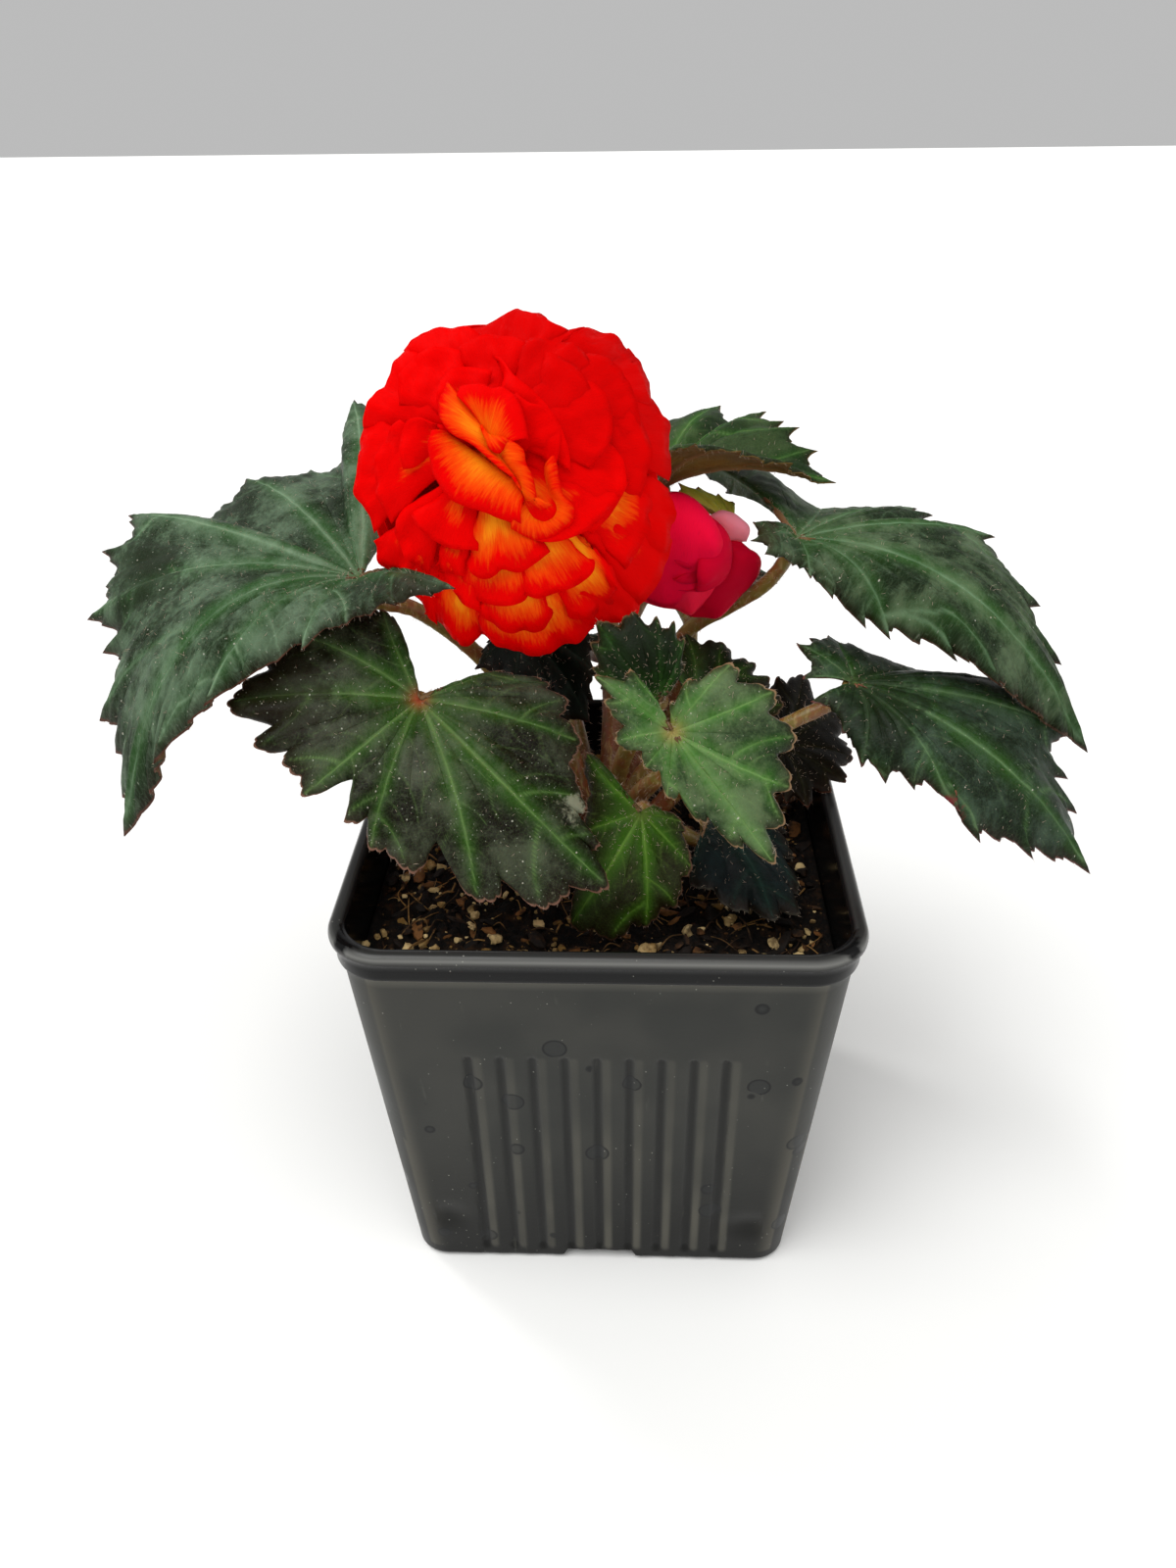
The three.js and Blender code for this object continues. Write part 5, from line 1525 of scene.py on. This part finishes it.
def receptacle(skin, radius, red, stand):
    """The knob under the petals, where the stalk ends."""
    turn, at, _ = stand
    theta = np.linspace(0.02, math.pi - 0.02, 14)[:, None]
    ball = polar(np.sin(theta), whole_turn(28), 0.7 * np.cos(theta)).reshape(-1, 3)
    points = ball * radius * (1 + 0.04 * value_noise(ball, 0.7, 3))[:, None] + [0, 0, -13 + 0.7 * radius]
    faces = [grid_faces(14, 28, True)]
    skin.add(points @ turn.T + at, faces, edge=9.0, red=float(red), tint=0.0, flow=points * 0.5)


def seeded_phase(seed):
    """A phase from 0 to a whole turn, as in the part's source."""
    return ((seed * 1664525 + 1013904223) % 4294967296) / 4294967296 * 6.28


def formula_petal(reach, rise, width, bulge, ruffle, bearing, seed, rows=20, columns=26):
    """A petal by its rim's reach and rise, as in the part's source."""
    t = np.linspace(-1, 1, columns + 1)
    along = np.linspace(0, 1, rows + 1)[:, None] * (1 - 0.16 * t**4)
    a, b, d = (1 - along) ** 2, 2 * along * (1 - along), along**2
    out = a * ROOT[0] + b * reach * bulge + d * reach
    height = a * ROOT[1] + b * (-7 + 0.25 * (rise + 7)) + d * rise
    height = height + ruffle * np.sin(4 * t + seeded_phase(seed)) * along**2
    spread = width * (0.35 + 0.65 * np.sin(math.pi * (0.1 + 0.55 * along))) / out
    angle = bearing + np.minimum(1.25, spread) * t
    grid = polar(out, angle, height)
    waves = value_noise(grid.reshape(-1, 3), 6, seed + 300).reshape(out.shape)
    grid = grid + sheet_normals(grid) * (0.3 * waves * along**1.5)[..., None]
    return finished_petal(grid, t * width, (1 - np.abs(t)) * width + 1.0, seed)


# The outermost petals as in the part's source, by bearing, reach and rise, and how far they are set in.
GUARDS = (
    (88, 34, -6), (134, 32, -7), (180, 31.5, -6), (250, 33.5, -7), (313, 34, -6), (17, 31, -7),
    (50, 32.5, -2), (112, 32, -2), (208, 31, -2), (278, 34.5, -2), (335, 32, -2),
)
GUARD_INSET = (2.4, 1.6)
# Whorls between the guards and the face, seen from the side: count, reach, rise and first bearing.
INNER_WHORLS = ((9, 26.6, -1.1, 5), (8, 21.6, 3.5, 25))
# The bud's inner petals: count, reach, rise, width, bulge, first bearing and ruffle.
BUD_WHORLS = ((3, 2.4, 7.8, 9.75, 4.8, 20, 0.4), (3, 6.0, 6.0, 9.75, 2.3, 80, 1.0))
LIP_HALF = 0.26  # half the thickness of the petals on the face
EXTRA_RED = 0.9  # added to the red band of every lip
# The lower petals' folds gather towards the lip.
GATHERED = {"sink": 6.0, "ruffle": 0.95, "gather": 4.0}


def crowded_heart(skin):
    """The small crumpled petals packed below the eye, as one ruffled cap."""
    reach = np.linspace(0.3, 11, 24)[:, None]
    angle = np.linspace(0, 2 * math.pi, 97)[None, :]
    height = np.interp(reach, *DOME) - 6.5 - 0.03 * reach**2 + 0.8 * np.sin(5 * angle + reach * 0.7)
    grid = polar(reach, angle, height)
    grid[:, -1] = grid[:, 0]
    flow = np.stack(np.broadcast_arrays(angle * 8, reach, 0.0), -1)
    add_petal(skin, (grid, np.full(height.shape, 6.0), flow), 0, BLOOM_STAND, half=0.4)


def make_bloom():
    skin = Skin()
    receptacle(skin, 10, ALL_RED, BLOOM_STAND)
    crowded_heart(skin)
    for i, (bearing, reach, rise) in enumerate(GUARDS):
        reach, rise = reach - GUARD_INSET[0], rise - GUARD_INSET[1]
        petal = formula_petal(reach, rise, 14, 0.95, 1.8, math.radians(bearing), 90 + i)
        add_petal(skin, petal, ALL_RED, BLOOM_STAND)
    for w, (count, reach, rise, first) in enumerate(INNER_WHORLS):
        for i in range(count):
            bearing = math.radians(first + 360 * i / count)
            petal = formula_petal(reach, rise, 12, 0.95, 0.8, bearing, 120 + 20 * w + i, rows=12, columns=18)
            add_petal(skin, petal, ALL_RED, BLOOM_STAND)
    for i, (lift, red, pixels) in enumerate(LIPS):
        lip = [on_dome(px, py, lift) for px, py in pixels]
        # The petals towards the upper right are darkened: painted shade on the side away from the key light.
        tint = -0.45 * smooth(np.mean([px - py for px, py in pixels]), 60, 230)
        petal = petal_sheet(lip, i, **({} if red == ALL_RED else GATHERED))
        add_petal(skin, petal, red + EXTRA_RED, BLOOM_STAND, LIP_HALF, tint)
    for i, (lift, red, depth, *edges) in enumerate(EYE_PETALS):
        inner, lip = ([on_dome(px, py, lift) for px, py in edge] for edge in edges)
        add_petal(skin, eye_petal(inner, lip, depth, 60 + i), red, BLOOM_STAND, LIP_HALF)
    for points in skin.points:
        points[:, 2] -= SHOULDER_SHARE * np.maximum(points[:, 2] - BLOOM_SHOULDER, 0)
    look = petal_look("bloom", "e60000", "f24004", "ff9014", "a80000", "f0604c", 0.02)
    skin.build("bloom_petals", look, "petal", "bloom")


# The bud's outer petals, from the back: how far behind the bud's middle and how far they bulge in mm,
# tint, the root edge and the lip by pixel.
BUD_PETALS = (
    (
        5.0, 2.0, 0.75,
        ((716, 532), (728, 540), (737, 553)),
        ((723, 526), (735, 521), (748, 524), (760, 532), (765, 541), (762, 553)),
    ),
    (
        3.5, 5.0, -0.75,
        ((690, 600), (712, 590), (728, 572), (736, 552)),
        (
            (704, 629), (720, 630), (733, 631), (744, 620), (752, 612), (761, 603),
            (769, 594), (776, 582), (776, 571), (765, 563), (757, 553),
        ),
    ),
    (
        1.0, 6.5, 0.1,
        ((676, 540), (700, 540), (720, 545), (735, 552)),
        ((652, 612), (676, 620), (690, 622), (704, 628), (714, 619), (734, 598), (741, 580), (739, 563)),
    ),
    (
        0.0, 9.8, 0.0,
        ((668, 512), (680, 504), (693, 503), (708, 510), (721, 523), (732, 540), (738, 555)),
        ((648, 602), (668, 616), (684, 618), (699, 614), (712, 607), (725, 596), (733, 584), (737, 566)),
    ),
)


def bulged_petal(behind, bulge, root, lip, seed, rows=26, columns=36):
    """A petal of the bud between a root edge and a lip, swelling towards the viewer."""
    depth = BUD_AT[1] + behind
    sides = ([seen_at_depth(*at, depth) for at in side] for side in (root, lip))
    root, lip = (curve_through(side, count=columns) for side in sides)
    t = np.linspace(-1, 1, columns + 1)
    share = np.linspace(0, 1, rows + 1)[:, None]
    swell = bulge * np.sin(math.pi * share) ** 0.7 * (1 - np.abs(t) ** 2.6)
    grid = root * (1 - share[..., None]) + lip * share[..., None] - FORWARD * swell[..., None]
    grid = ruffled((grid - BUD_AT) @ BUD_TURN, 0.22 * share, seed)
    width = run_along(lip)[-1] / 2
    return finished_petal(grid, t * width, (1 - np.abs(t)) * width + 0.8, seed)


def make_bud():
    skin = Skin()
    receptacle(skin, 4.5, 0, BUD_STAND)
    for w, (count, reach, rise, width, bulge, first, ruffle) in enumerate(BUD_WHORLS):
        for i in range(count):
            bearing = math.radians(first + 360 * i / count)
            petal = formula_petal(reach, rise, width, bulge, ruffle, bearing, 17 * w + i)
            add_petal(skin, petal, 2.0, BUD_STAND, tint=-0.5)
    for i, (behind, bulge, tint, root, lip) in enumerate(BUD_PETALS):
        add_petal(skin, bulged_petal(behind, bulge, root, lip, 70 + i), 0.6, BUD_STAND, tint=tint)
    look = petal_look("bud", "ff0434", "ff0838", "ff0c3c", "b00424", "ffa0b0", 0.02, 0.2)
    skin.build("bud_petals", look, "bud_petal", "bud")


# ---------------------------------------------------------------- stage


FLOOR_HALF = 3000.0  # mm


def make_stage():
    corners = np.array([(-1, -1, 0), (1, -1, 0), (1, 1, 0), (-1, 1, 0)])
    floor = new_object("floor", corners * FLOOR_HALF, [np.array([[0, 1, 2, 3]])])
    look = Look("floor", Specular_IOR_Level=0.2, Roughness=0.8)
    shade = look.noise(look.place(), 3, 2)
    pale = look.blend(shade, "f4f4f2", "f8f8f6")
    floor.data.materials.append(look.finish(Base_Color=pale))

    bpy.context.scene.view_settings.view_transform = "Standard"
    world = bpy.data.worlds.new("studio")
    bpy.context.scene.world = world
    world.use_nodes = True
    background = world.node_tree.nodes["Background"].inputs
    background["Color"].default_value = (1, 1, 1, 1)
    background["Strength"].default_value = 0.5

    for name, place, target, spread, power in (
        ("key", (-0.35, -0.35, 1.1), (0, 0, 0.12), 45, 1.9),
        ("fill", (0.6, -0.4, 0.7), (0, 0, 0.1), 60, 0.65),
        ("glint", (-0.5, 0.35, 0.8), (0, 0, 0.1), 9, 0.45),
    ):
        light = bpy.data.lights.new(name, "SUN")
        light.angle, light.energy = math.radians(spread), power
        lamp = bpy.data.objects.new(name, light)
        away = unit(np.array(place) - np.array(target))
        side = unit(np.cross([0, 0, 1], away))
        turn = np.column_stack([side, np.cross(away, side), away])
        lamp.matrix_world = Matrix.Translation(place) @ Matrix(turn.tolist()).to_4x4()
        bpy.context.scene.collection.objects.link(lamp)


def make_camera():
    data = bpy.data.cameras.new("camera")
    data.sensor_width = 36.0
    data.lens = FOCAL / max(IMAGE) * data.sensor_width
    data.clip_start = 0.01
    camera = bpy.data.objects.new("camera", data)
    turn = Matrix(np.column_stack([RIGHT, UP, -FORWARD]).tolist()).to_4x4()
    camera.matrix_world = Matrix.Translation((EYE * MM).tolist()) @ turn
    bpy.context.scene.collection.objects.link(camera)
    bpy.context.scene.camera = camera


make_camera()
make_stage()
make_pot()
make_soil()
make_crumbs()
for blade in BLADES:
    make_leaf(blade)
make_stems()
HAIRS.build("hairs", hair_look(), "stalk")
make_bloom()
make_bud()
